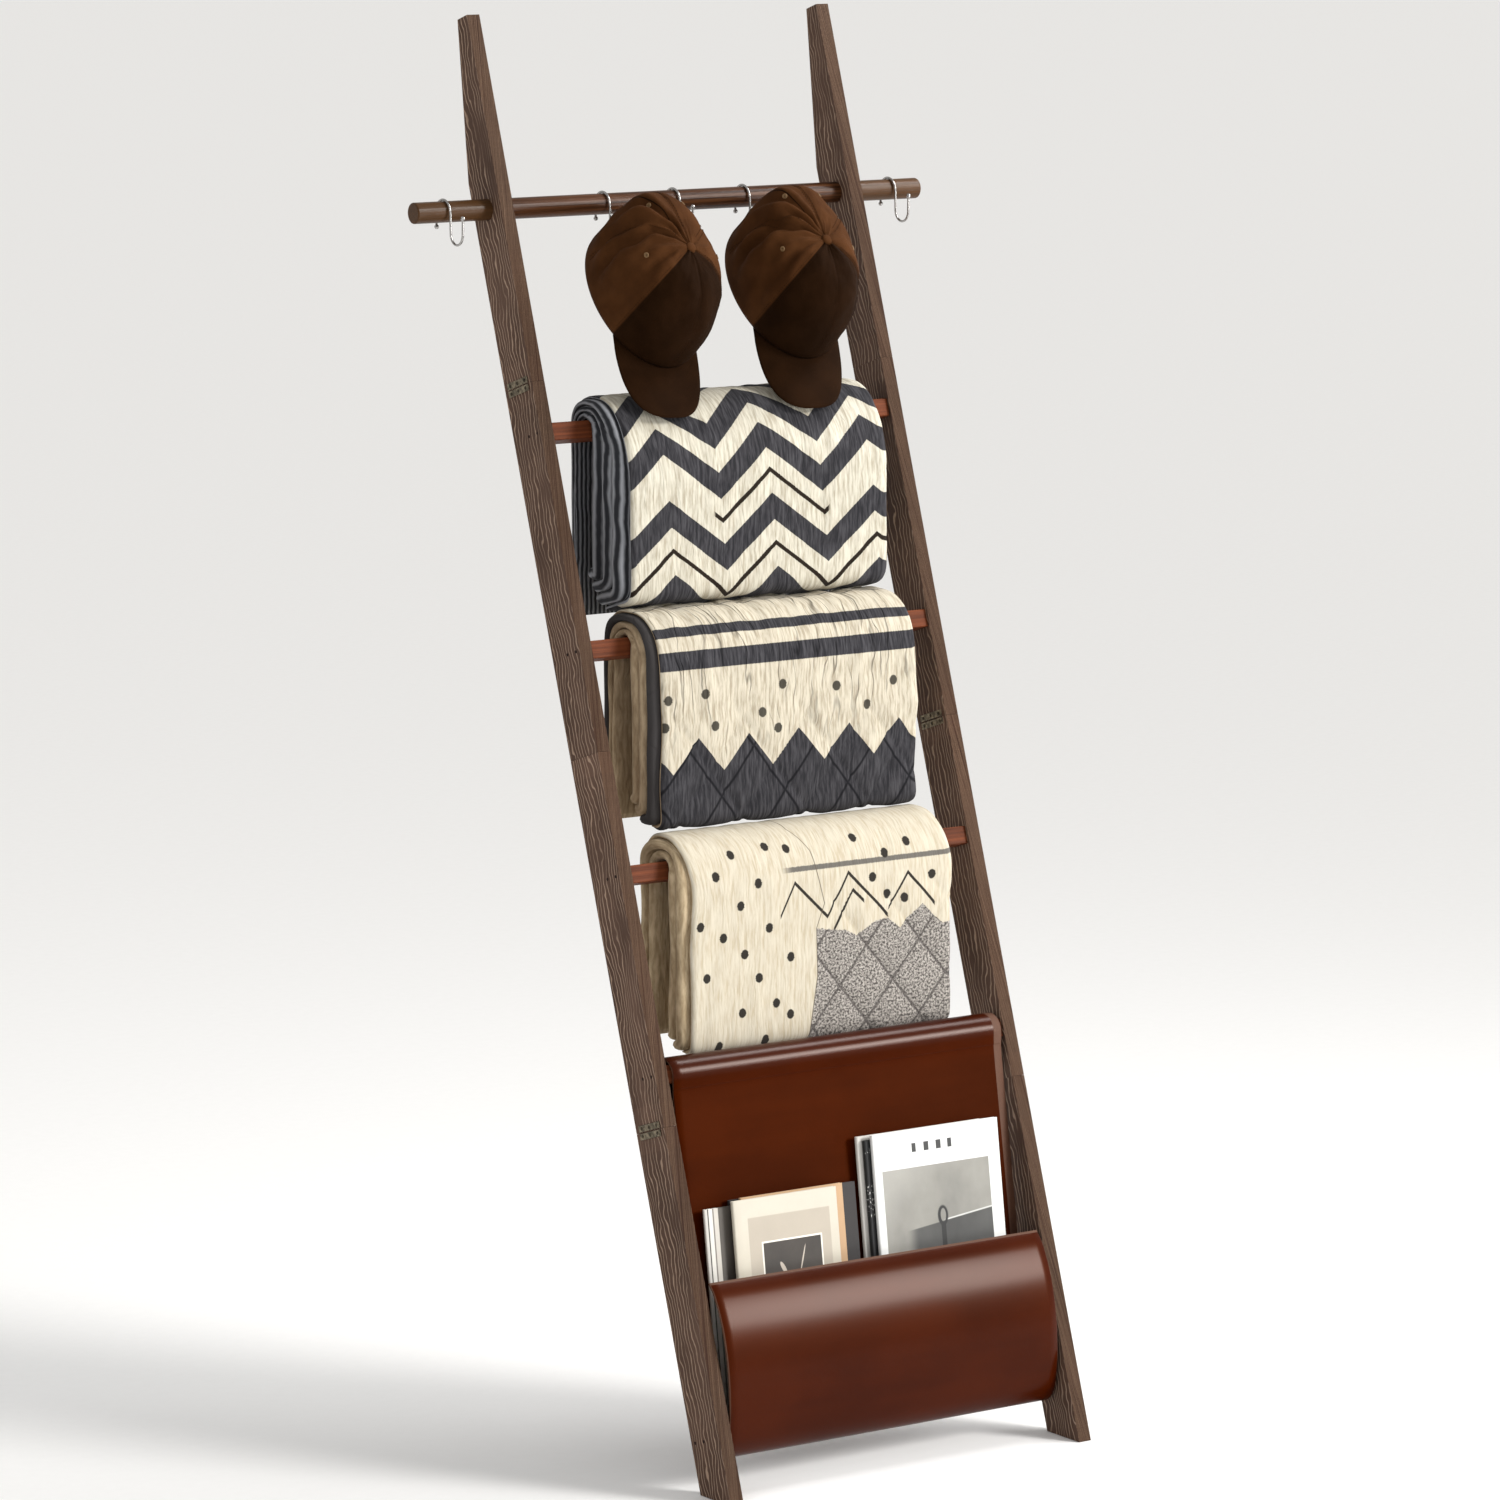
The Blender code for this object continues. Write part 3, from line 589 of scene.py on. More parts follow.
def build_quilt(name, node, rung_node, width, layers, outer, inner, relief, looks, seed, slot):
    """A puffy sheet folded into layers and draped over a rung, as one closed mesh."""
    rung = centre(rung_node)
    out, ins = drape_guide((rung.y, rung.z), *outer), drape_guide((rung.y, rung.z), *inner)
    path, flat_width = fold_path(width, layers, FOLD_R, STEP, seed)
    crest = int(np.argmax(out[:, 1]))
    steps = np.linalg.norm(np.diff(out, axis=0), axis=1)
    v = np.concatenate([[0.0], np.cumsum(steps)])
    v -= v[crest]
    spacing = np.linalg.norm(out - ins, axis=1) / (layers - 1)
    thick = np.minimum(QUILT_MAX_THICK, 0.9 * spacing)
    rows, columns = len(path), len(v)
    f = path[:, 1][:, None]
    yz = out[None] * (1 - f[..., None]) + ins[None] * f[..., None]
    mid = np.empty((rows, columns, 3))
    mid[..., 0], mid[..., 1:] = path[:, 0][:, None], yz
    edge_noise = np.array([[noise.noise((v[j] * 14.0, round(path[i, 1] * (layers - 1) / 2) * 3.1, seed))
                            for j in range(columns)] for i in range(rows)])
    ends = smooth(np.abs(path[:, 0]), width / 2 - 0.06, width / 2)[:, None]
    mid[..., 0] += edge_noise * EDGE_SWAY * ends
    along = np.gradient(mid, axis=1)
    across = np.gradient(mid, axis=0)
    normal = np.cross(across, along)
    normal /= np.linalg.norm(normal, axis=2, keepdims=True)
    if normal[len(path) // (2 * layers), columns * 2 // 3, 1] > 0:
        normal = -normal
    hem_u = np.minimum(path[:, 2], flat_width - path[:, 2])[:, None]
    hem_v = np.minimum(v - v[0], v[-1] - v)[None]
    hem = np.clip(np.minimum(hem_u, hem_v) / HEM_TAPER, 0.02, 1)
    half = thick[None] / 2 * np.sqrt(1 - (1 - hem) ** 2)
    uv = np.empty((rows, columns, 2))
    uv[..., 0], uv[..., 1] = path[:, 0][0] + path[:, 2][:, None], v[None]
    lift = relief(uv[..., 0], uv[..., 1]) * hem
    on_face = smooth(path[:, 1], 0.5 / (layers - 1), 0.02)[:, None]
    slack = np.array([[noise.noise((path[i, 0] * 9.0, v[j] * 11.0, seed + 9.0 + path[i, 1] * 4))
                       for j in range(columns)] for i in range(rows)])
    lift = np.minimum(lift * on_face + 0.0005 * slack * (1 - on_face), RELIEF_MAX)
    side_a = mid + normal * (half + lift)[..., None]
    side_b = mid - normal * half[..., None]
    points = np.concatenate([side_a.reshape(-1, 3), side_b.reshape(-1, 3)])
    uvs = np.concatenate([uv.reshape(-1, 2), uv.reshape(-1, 2)])
    face, back, rim = back_to_back(rows, columns)
    piece = add_piece(name, points, face + back + rim, looks, "rack", slot, node, uvs=uvs,
                      face_slots=[0] * len(face) + [1] * (len(back) + len(rim)), sharp=None)


def diamonds(u, v, pitch, slope, puff, wide, stitch):
    """Height of puffed cloth between two families of crossing quilting lines, pressed in at the lines."""
    a, b = (u + v * slope) / pitch, (u - v * slope) / pitch
    away = np.minimum(np.abs(a - np.round(a)), np.abs(b - np.round(b))) * pitch
    return puff * smooth(away, 0.0, wide) - puff * np.exp(-(away / stitch) ** 2)


def gathers(u, v, seed, scale):
    """Uneven vertical crinkles."""
    flat_points = np.stack([(u + 0.01 * np.sin(v * 23.0 + seed)).ravel() * scale, (v * 9.0).ravel()], axis=1)
    field = np.array([noise.noise((p[0], p[1], seed)) for p in flat_points])
    return field.reshape(u.shape)


def relief_1(u, v):
    """Crinkles across long seams."""
    seam = np.abs(((v + 0.02) / 0.085) - np.round((v + 0.02) / 0.085)) * 0.085
    return gathers(u, v, 2.0, 60.0) * 0.0017 - 0.001 * np.exp(-(seam / 0.004) ** 2)


def relief_2(u, v):
    """Crinkles near the top, quilted diamonds below."""
    top = 1 - smooth(v, 0.1, 0.22)
    wave = gathers(u, v, 5.0, 48.0) * (0.001 + 0.0024 * top)
    return wave + smooth(v, 0.15, 0.18) * diamonds(u + 0.02, v, 0.094, 0.8, 0.0022, 0.03, 0.0034)


def relief_3(u, v):
    """Fine crinkles, with quilted diamonds at the lower right."""
    wave = gathers(u, v, 8.0, 52.0) * 0.0009
    quilted = smooth(v, 0.1, 0.14) * smooth(u, 0.0, 0.02)
    return wave + quilted * diamonds(u + 0.01, v, 0.08, 0.85, 0.002, 0.026, 0.003)


# Lit and shaded copies of the cream and the charcoal cloth: mixed by the crinkles, they are painted light on the
# crests and painted shade in the hollows.
CREAM, CREAM_SHADED = (0.56, 0.512, 0.412), (0.39, 0.335, 0.248)
CHARCOAL, CHARCOAL_LIT = (0.024, 0.0235, 0.027), (0.06, 0.058, 0.064)


def cloth_detail(g, u, v, crinkle=0.0005, pleats=0.1):
    """Crinkles, fine weave and tone shared by the quilts: (tone, height). The tone is lighter on the raised
    crinkles and folds and darker in their hollows and along the creases: painted light and shade.
    """
    sway = g.noise((u * 20.0, v * 16.0), 2.0) * 2.2
    crinkles = g.noise((u * 300.0 + sway, v * 34.0), 3.0, 0.6)
    large = g.noise((u * 60.0 + sway, v * 14.0), 2.0)
    long_fold = g.noise((u * 52.0 + sway * 0.8, v * 5.0), 1.0)
    crease = g.ramp(abs(long_fold - 0.5), 0.0, 0.03, 1.0, 0.0) * g.ramp(large, 0.42, 0.58) * pleats
    weave = g.wave(u, 0.0011) * g.wave(v, 0.0011)
    # Painted shade: the tone follows the crinkles and folds and drops in the creases.
    tone = 0.72 + crinkles * 0.34 + large * 0.18 - crease
    height = crinkles * crinkle + large * 0.0012 - crease * 0.003 + weave * 0.00008
    return tone, height, crinkles


def cloth_finish(g, colour, tone, height):
    return g.finish(Base_Color=g.shade(colour, tone), Roughness=0.92, Normal=g.bump(height),
                    Sheen_Weight=0.03, Sheen_Roughness=0.5, Specular_IOR_Level=0.08)


def dark_cloth(g, crinkles):
    # Charcoal, lighter on the crinkle crests and darker in their hollows: painted light and shade.
    return g.mix(g.ramp(crinkles, 0.35, 0.7), CHARCOAL, CHARCOAL_LIT)


def backing(name, crinkle, dark, light):
    """The start of a plain backing cloth: graph, u, colour, tone and height. The colour runs from dark to light
    with the crinkles: painted shade in their hollows.
    """
    b = Graph(name)
    u, v, _ = b.coords("UV")
    tone, height, crinkles = cloth_detail(b, u, v, crinkle)
    return b, u, b.mix(b.ramp(crinkles, 0.3, 0.7), dark, light), tone, height


def quilt_1_looks():
    g = Graph("quilt_1_chevron")
    u, v, _ = g.coords("UV")
    tone, height, crinkles = cloth_detail(g, u, v)
    ragged = (g.noise((u * 500.0, v * 500.0), 2.0) - 0.5) * 0.0018
    lean = u - Q1_PEAK - (v - 0.2) * 0.1
    zig = v - g.wave(lean + 10 * Q1_PERIOD, Q1_PERIOD) * Q1_RISE - ragged
    dark = g.high(*(g.band(zig, low, high, 0.0005) for low, high in Q1_BANDS))
    fine = g.band(zig, *Q1_THIN_FULL, 0.0004)
    part = g.band(zig, *Q1_THIN_PART, 0.0004) * g.band(u, *Q1_THIN_SPAN, 0.002)
    # Cream, darker in the crinkle hollows: painted shade.
    cream = g.mix(g.ramp(crinkles, 0.3, 0.62), (0.415, 0.37, 0.285), (0.59, 0.56, 0.47))
    colour = g.mix(dark, cream, dark_cloth(g, crinkles))
    colour = g.mix(g.high(fine, part), colour, (0.02, 0.014, 0.01))
    front = cloth_finish(g, colour, tone, height)
    b = Graph("quilt_1_backing")
    u, v, _ = b.coords("UV")
    nap = b.noise((u * 260.0, v * 40.0), 3.0, 0.6)
    fold = b.noise((u * 26.0 + v * 30.0, v * 12.0 - u * 8.0), 2.0)
    rib = b.wave(u + fold * 0.004 + 4.0, 0.0062)
    # The backing is dark cloth; the lighter colour on the rib crests is painted light, and the dark between them
    # painted shade.
    colour = b.mix(b.ramp(rib * 0.75 + nap * 0.25, 0.3, 0.8), (0.022, 0.023, 0.027), (0.26, 0.268, 0.29))
    back = b.finish(Base_Color=colour, Roughness=0.8, Normal=b.bump(nap * 0.0004 + rib * 0.0014),
                    Sheen_Weight=0.1, Sheen_Roughness=0.35, Specular_IOR_Level=0.15)
    return [front, back]


def quilt_2_looks():
    g = Graph("quilt_2_peaks")
    u, v, _ = g.coords("UV")
    tone, height, crinkles = cloth_detail(g, u, v, 0.0006, g.ramp(v, 0.14, 0.24, 0.42, 0.06))
    ragged = (g.noise((u * 500.0, v * 500.0), 2.0) - 0.5) * 0.0014
    # Cream, darker in the crinkle hollows: painted shade.
    cream = g.mix(g.ramp(crinkles, 0.3, 0.6), CREAM_SHADED, CREAM)
    peaks = g.wave(u - Q2_PEAK + 10 * Q2_PERIOD, Q2_PERIOD) * Q2_RISE
    field = g.ramp(v - peaks + ragged, Q2_TOP - 0.0006, Q2_TOP + 0.0006)
    dark = g.high(*(g.band(v + ragged, low, high, 0.0005) for low, high in Q2_STRIPES), field)
    dots = g.high(*(g.spot(u + ragged * 2.0, v, at, (0.0058, 0.0062)) for at in Q2_DOTS))
    colour = g.mix(dark, cream, dark_cloth(g, crinkles))
    colour = g.mix(dots * 0.95, colour, (0.04, 0.036, 0.029))
    # Dark lines along the diamond quilting: the stitching, widened by painted shade in the pressed-in grooves.
    stitch_lines_and_shade = g.high(*(g.ramp(g.wave(u + v * 0.8 * way + 0.02 * way + 4.0, 0.094), 0.015, 0.075, 1.0, 0.0)
                        for way in (1.0, -1.0)))
    colour = g.mix(stitch_lines_and_shade * field * 0.9, colour, (0.008, 0.008, 0.01))
    front = cloth_finish(g, colour, tone, height)
    b, u, beige, tone, height = backing("quilt_2_backing", 0.0004, (0.29, 0.21, 0.128), (0.45, 0.345, 0.225))
    colour = b.mix(b.band(u, 0.3, 0.9, 0.01), beige, (0.05, 0.046, 0.046))
    return [front, cloth_finish(b, colour, tone, height)]


def quilt_3_looks():
    g = Graph("quilt_3_hills")
    u, v, _ = g.coords("UV")
    tone, height, crinkles = cloth_detail(g, u, v, 0.0006, 0.03)
    ragged = (g.noise((u * 420.0, v * 420.0), 2.0) - 0.5)
    # Cream, darker in the crinkle hollows: painted shade.
    cream = g.mix(g.ramp(crinkles, 0.3, 0.6), (0.5, 0.43, 0.315), CREAM)
    seam_at = g.path(v, Q3_SEAM)
    right = g.ramp(u - seam_at, -0.0004, 0.0004)
    seam = g.band(u - seam_at, -0.0007, 0.0007, 0.0004)
    speckle = g.noise((u * 360.0, v * 360.0), 3.0, 0.75)
    grey = g.mix(g.ramp(speckle, 0.4, 0.6), (0.07, 0.062, 0.058), (0.43, 0.4, 0.365))
    # Dark lines along the diamond quilting: the stitching, widened by painted shade in the pressed-in grooves.
    quilting = g.high(*(g.ramp(g.wave(u + v * 0.85 * way + 0.011 + 4.0, 0.08), 0.02, 0.09, 1.0, 0.0)
                        for way in (1.0, -1.0)))
    grey = g.mix(quilting * 0.75, grey, (0.06, 0.052, 0.05))
    field = g.ramp(v - g.path(u, Q3_HILLS) + ragged * 0.005, -0.0006, 0.0006) * right
    lines = g.high(*(g.band(v - g.path(u, run) - ragged * 0.0012, -0.0026, 0.0026, 0.0005)
                     * g.band(u, run[0][0], run[-1][0], 0.0008) for run in Q3_ZIGS))
    stripe = g.band(v + ragged * 0.002, *Q3_STRIPE, 0.0006) * g.ramp(u, Q3_STRIPE_FROM, Q3_STRIPE_FROM + 0.02)
    dots = g.high(*(g.spot(u + ragged * 0.003, v, at, (0.0054, 0.006)) for at in Q3_DOTS))
    colour = g.mix(stripe * 0.9, cream, (0.095, 0.09, 0.085))
    colour = g.mix(g.high(dots, lines), colour, (0.032, 0.028, 0.024))
    colour = g.mix(field, colour, grey)
    colour = g.mix(seam * 0.75, colour, (0.1, 0.08, 0.06))
    front = cloth_finish(g, colour, tone, height)
    b, _, colour, tone, height = backing("quilt_3_backing", 0.0005, (0.33, 0.245, 0.145), (0.53, 0.42, 0.275))
    return [front, cloth_finish(b, colour, tone, height)]


# patterns, in metres on the flat cloth: u from the left hem's x, v down from the crest
Q1_PERIOD, Q1_PEAK, Q1_RISE = 0.152, 0.023, 0.058
Q1_BANDS = ((-0.31, -0.278), (-0.246, -0.214), (-0.182, -0.15), (-0.114, -0.082), (-0.048, -0.016),
            (0.018, 0.05), (0.078, 0.11), (0.165, 0.198), (0.256, 0.298), (0.33, 0.362))
Q1_THIN_PART, Q1_THIN_SPAN, Q1_THIN_FULL = (0.133, 0.1395), (-0.066, 0.105), (0.2235, 0.23)
Q2_STRIPES = ((0.0565, 0.07), (0.088, 0.11), (0.01, 0.0125))
Q2_PERIOD, Q2_PEAK, Q2_RISE, Q2_TOP = 0.0744, 0.0157, 0.042, 0.194
Q2_DOTS = ((-0.177, 0.145), (-0.183, 0.178), (-0.123, 0.141), (-0.11, 0.181), (-0.04, 0.17), (-0.017, 0.191),
           (-0.009, 0.138), (0.072, 0.147), (0.118, 0.174), (0.158, 0.147))
Q3_SEAM = ((0.03, -0.027), (0.065, -0.01), (0.09, -0.006), (0.13, 0.005), (0.16, -0.007), (0.22, -0.005),
           (0.3, -0.018))
Q3_HILLS = ((-0.007, 0.16), (0.018, 0.164), (0.036, 0.166), (0.053, 0.175), (0.079, 0.16), (0.1, 0.158),
            (0.118, 0.172), (0.133, 0.158), (0.152, 0.145), (0.176, 0.166), (0.184, 0.172))
Q3_ZIGS = (((-0.06, 0.141), (-0.039, 0.101), (0.0095, 0.147), (0.041, 0.096), (0.101, 0.155)),
           ((0.101, 0.146), (0.131, 0.104), (0.171, 0.147)), ((0.019, 0.165), (0.048, 0.118), (0.063, 0.133)))
Q3_STRIPE, Q3_STRIPE_FROM = (0.0822, 0.0882), -0.06
Q3_DOTS = ((-0.125, 0.059), (-0.072, 0.053), (-0.043, 0.059), (-0.154, 0.083), (-0.093, 0.096), (-0.119, 0.121),
           (-0.077, 0.152), (-0.178, 0.141), (-0.144, 0.158), (-0.113, 0.181), (-0.045, 0.191), (-0.168, 0.205),
           (-0.092, 0.212), (-0.066, 0.246), (-0.116, 0.253), (-0.045, 0.262), (-0.15, 0.29), (-0.082, 0.289),
           (0.058, 0.055), (0.134, 0.067), (0.098, 0.078), (0.077, 0.105), (0.099, 0.128), (0.166, 0.11),
           (0.125, 0.135))


def build_quilts():
    """Each spec: width, layers, reach ahead and behind the rung, rise, shoulder radii, curl, run and drop."""
    half = 0.002
    back_feet = [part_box(f"quilt_{n}")[0].z + 0.003 for n in (1, 2, 3)]
    feet = (back_feet[0] + 0.0245, back_feet[1] - 0.0015, back_feet[2] - 0.0135)
    specs = (
        (0.388, 7, 0.092, 0.034, 0.043, (0.072, 0.105), 0.016, 0.04, 0.012, relief_1, quilt_1_looks),
        (0.384, 7, 0.072, 0.05, 0.045, (0.06, 0.07), 0.012, 0.012, 0.000, relief_2, quilt_2_looks),
        (0.392, 5, 0.056, 0.052, 0.043, (0.055, 0.06), 0.01, 0.008, 0.000, relief_3, quilt_3_looks),
    )
    for n, (width, layers, ahead, behind, rise, shoulder, curl, run, drop, relief, looks) in enumerate(specs, 1):
        foot, back_foot = feet[n - 1], back_feet[n - 1]
        outer = (ahead - 0.0045, behind - half, rise - half, shoulder, BACK_ROUND, foot + 0.003, back_foot,
                 curl, run, drop)
        inner = (RUNG_CLEAR_Y + half, RUNG_CLEAR_Y + half, RUNG_CLEAR_Z + half, (RUNG_CLEAR_Y, RUNG_CLEAR_Z),
                 RUNG_CLEAR_Y, foot + 0.006 * (layers - 1), back_foot + 0.002, 0.004, 0.002 + run * 0.2, 0.0)
        build_quilt(f"quilt_{n}_folded", f"quilt_{n}", f"rung_{n}", width, layers, outer, inner, relief, looks(),
                    3.0 * n, f"quilt_{n}_cotton")


# ---- leather sling ----
def leather_look():
    """Grained leather, with a polish where it bends over rung 4 and on the belly."""
    g = Graph("leather")
    x, y, z = g.coords()
    grain = g.cells((x, y, z), 900.0)
    fine = g.noise((x, y, z), 3.0, scale=1400.0)
    mottle = g.noise((x * 7.0, y * 7.0, z * 9.0), 3.0)
    pull = g.noise((x * 3.0, y * 40.0, z * 40.0), 2.0)
    colour = g.mix(g.ramp(mottle * 0.7 + pull * 0.3, 0.36, 0.66), (0.032, 0.0036, 0.0001), (0.045, 0.0056, 0.0002))
    height = grain * 0.000045 + fine * 0.00003
    high, low = centre("rung_4").z, centre("rung_5").z
    polish = g.ramp(z, high - 0.004, high + 0.004, 0.0, 0.2) + g.ramp(z, low + 0.18, low + 0.26, 0.11, 0.0)
    return g.finish(Base_Color=g.shade(colour, 0.86 + grain * 0.22), Roughness=0.29 + mottle * 0.07 + grain * 0.05,
                    Normal=g.bump(height), Specular_IOR_Level=0.08, Specular_Tint=(1.0, 0.35, 0.1),
                    Coat_Weight=polish, Coat_Roughness=0.22)


def raw_edge_look():
    g = Graph("leather_edge")
    x, y, z = g.coords()
    fibre = g.noise((x * 1500.0, y * 700.0, z * 700.0), 3.0)
    return g.finish(Base_Color=g.mix(fibre, (0.045, 0.015, 0.006), (0.13, 0.05, 0.022)), Roughness=0.72,
                    Normal=g.bump(fibre * 0.0002))


def sling_run():
    """Centre line of the leather in (y, z): hem, over rung 4, down, round rung 5, up to the lip."""
    high, low = centre("rung_4"), centre("rung_5")
    cy, cz, ly, lz = high.y, high.z, low.y, low.z
    r = HALF_DIAGONAL + GAP + LEATHER / 2
    hem = [(cy - 0.0145, cz - 0.047), (cy - 0.008, cz - 0.042), (cy + 0.012, cz - 0.023)]
    loop = arc(cy, cz, r, r, -18, 180, 12)
    panel = [(cy - r - 0.0002, cz - 0.012), (cy - r - 0.0032, cz - 0.04)]
    panel += [(ly + y, lz + z) for y, z in ((0.0549, 0.186), (0.0444, 0.106), (0.0359, 0.046))]
    snug = HALF_DIAGONAL + 0.0035
    bend = [(ly + y * snug, lz + z * snug)
            for y, z in ((1.38, 0.47), (0.957, -0.516), (0.207, -0.977), (-0.545, -0.892), (-1.108, -0.141))]
    belly = [(ly + y, lz + z) for y, z in ((-0.0281, 0.026), (-0.0286, 0.056), (-0.0246, 0.096),
                                           (-0.0146, 0.136), (0.0014, 0.171), (0.0154, 0.188))]
    return [(p.x, p.y) for p in catmull([(y, z, 0) for y, z in hem + loop + panel + bend + belly], 0.0035)]


def build_sling():
    """One thick sheet with eased edges; its cut edges show the raw leather."""
    low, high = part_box("leather_sling")
    run = np.array(sling_run())
    tangent = np.gradient(run, axis=0)
    tangent /= np.linalg.norm(tangent, axis=1, keepdims=True)
    normal = np.stack([-tangent[:, 1], tangent[:, 0]], axis=1)
    ease = 0.0008
    xs = np.concatenate([[low.x, low.x + ease], np.linspace(low.x + 0.012, high.x - 0.012, 40),
                         [high.x - ease, high.x]])
    inset = np.zeros(len(xs))
    inset[[0, -1]] = ease
    rows, columns = len(xs), len(run)
    along = np.concatenate([[0], np.cumsum(np.linalg.norm(np.diff(run, axis=0), axis=1))])
    end_inset = np.zeros(columns)
    end_inset[[0, -1]] = ease
    points = []
    sway = np.array([[0.0006 * noise.noise((x * 5.0, s * 6.0, 2.0)) for s in along] for x in xs])
    for way in (1, -1):
        half = LEATHER / 2 - np.maximum(inset[:, None], end_inset[None])
        offset = way * half + sway * smooth(along, 0.1, 0.22)[None]
        grid = np.empty((rows, columns, 3))
        grid[..., 0] = xs[:, None]
        grid[..., 1:] = run[None] + normal[None] * offset[..., None]
        points.append(grid.reshape(-1, 3))
    count = rows * columns
    face, back, rim = back_to_back(rows, columns)
    slots = []
    for quad in face + back:
        i, j = divmod(quad[0] % count, columns)
        slots.append(int(i == 0 or i >= rows - 2 or j == 0 or j >= columns - 2))
    piece = add_piece("sling_leather", np.concatenate(points), face + back + rim,
                      [leather_look(), raw_edge_look()], "rack", "leather", "leather_sling",
                      face_slots=slots + [1] * len(rim), sharp=50)


# ---- caps ----
CROWN_A, CROWN_B, CROWN_H = 0.0755, 0.1, 0.115
CROWN_ROUND, CROWN_PEAK = 0.72, 0.95        # powers that flatten the crown's arch
CROWN_MEAN_R, SLOUCH = 0.09, 0.02
CLOTH, CAD_CLOTH = 0.0018, 0.0024
BRIM_OUT, BRIM_HALF, BRIM_DROOP = 0.067, 0.063, 0.012
ARCH_W, ARCH_H = 0.062, 0.05
STRAP_W, STRAP_T = 0.017, 0.0014
SEAMS = [radians(a) for a in (0, 60, 120, 180, 240, 300)]      # from the front, towards -X
CREASES = (      # angle from the front, depth in metres and width in degrees
    (111, 0.011, 5.0), (129, 0.009, 5.6), (148, 0.0065, 6.0), (95, -0.004, 7.0), (79, 0.0048, 5.0))


def cap_place(side):
    """The cap's own frame in the world, from the joint that it swings on."""
    joint = next(j for j in frame["record"]["behaviour"]["joints"] if j["name"] == f"cap_{side}_on_hook")
    cup = Vector(joint["pos_m"])
    yaw = radians(6.0 if side == "left" else 2.0)
    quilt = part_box("quilt_1")
    tilt = atan2(cup.y - quilt[0].y, cup.z - (quilt[1].z - 0.0153))
    forward = Vector((0, -sin(tilt), -cos(tilt)))
    up = Vector((0, -cos(tilt), sin(tilt))) * cos(yaw) + Vector((1, 0, 0)) * sin(yaw)
    across = forward.cross(up)
    if Matrix((across, -forward, up)).determinant() < 0:
        across = -across
    turn = Matrix((across, -forward, up)).transposed()
    origin = cup + forward * (0.006 + CROWN_B - CAD_CLOTH - 4 * GAP - STRAP_T / 2) - up * (STRAP_W / 2)
    return Matrix.Translation(origin) @ turn.to_4x4()


def crown_point(a, f, inset=0.0, lift=0.0):
    """Point on the crown at angle a from the front (towards -X) and rise f from the rim, in the cap's frame."""
    r, h = cos(f) ** CROWN_ROUND, sin(f) ** CROWN_PEAK
    slouch = exp(-((f - 0.8) / 0.42) ** 2) * max(0.0, -cos(a)) ** 1.2
    side = exp(-((f - 0.75) / 0.5) ** 2) * abs(sin(a)) ** 2
    grow = lift - inset
    x = -(CROWN_A + grow + 0.002 * side) * r * sin(a)
    y = -(CROWN_B + grow) * r * cos(a) + SLOUCH * 0.75 * slouch
    z = (CROWN_H + grow) * h + SLOUCH * 0.65 * slouch
    return Vector((x, y, z))


def rise_at(z):
    """The rise f at which the crown is z high."""
    return asin(min(1.0, (z / CROWN_H) ** (1 / CROWN_PEAK)))


def crown_relief(a, f, seed):
    """Soft panels between the seams, creases that run to the button, and slack in the cloth."""
    turn = a % (2 * pi)
    away = min(abs((turn - s + pi) % (2 * pi) - pi) for s in SEAMS)
    r = max(0.15, cos(f)) * CROWN_MEAN_R
    panel = 0.001 * (1 - exp(-(away * r / 0.009) ** 2))
    groove = -0.0014 * exp(-(away * r / 0.0014) ** 2)
    crease = 0.0
    fade = smooth(f, 0.12, 0.4) * (1 - smooth(f, 1.32, 1.54))
    for degrees, depth, width in CREASES:
        bend = radians(degrees + 7.0 * sin(f * 2.6 + degrees))
        bend += 0.1 * noise.noise((f * 3, degrees, seed))
        off = abs((turn - bend + pi) % (2 * pi) - pi)
        w = radians(width)
        crease += fade * depth * (-exp(-(off / w) ** 2) + 0.55 * exp(-((off - 2.1 * w) / (1.3 * w)) ** 2))
    slack = 0.0022 * noise.noise((a * 2.2, f * 3.0, seed)) + 0.0008 * noise.noise((a * 7.0, f * 9.0, seed + 4))
    return panel + groove + crease * 0.9 + slack * float(smooth(f, 0.05, 0.35))


def cap_cloth(name, depth=1.0, shade_front_panels=False):
    g = Graph(name)
    x, y, z = g.coords()
    u, v, _ = g.coords("UV")
    twill = g.wave(u + v, 0.0016)
    yarn = g.noise((u * 1500.0, v * 1500.0), 2.0)
    worn = g.noise((x, y, z), 3.0, scale=26.0)
    colour = g.mix(g.ramp(worn, 0.3, 0.72), (0.045, 0.0165, 0.0055), (0.072, 0.0275, 0.0095))
    # depth scales the whole cloth darker; on the visor this darkening is painted shade.
    tone = (0.8 + yarn * 0.3 + twill * 0.1) * depth
    # Painted shade: the front panels of the crown are darkened to about a fifth.
    if shade_front_panels:
        front = 2 * pi * CROWN_MEAN_R
        tone = tone * g.path(u, ((front - 0.11, 1.0), (front - 0.09, 0.21),
                                 (front + 0.093, 0.21), (front + 0.096, 1.0)))
    height = twill * 0.0001 + yarn * 0.00012
    return g.finish(Base_Color=g.shade(colour, tone), Roughness=0.86,
                    Normal=g.bump(height), Specular_IOR_Level=0.08, Specular_Tint=(1.0, 0.6, 0.35))


def thread_look():
    g = Graph("cap_thread")
    x, y, z = g.coords()
    twist = g.noise((x, y, z), 2.0, scale=2500.0)
    return g.finish(Base_Color=g.mix(twist, (0.1, 0.05, 0.018), (0.26, 0.15, 0.055)), Roughness=0.6,
                    Normal=g.bump(twist * 0.0001))


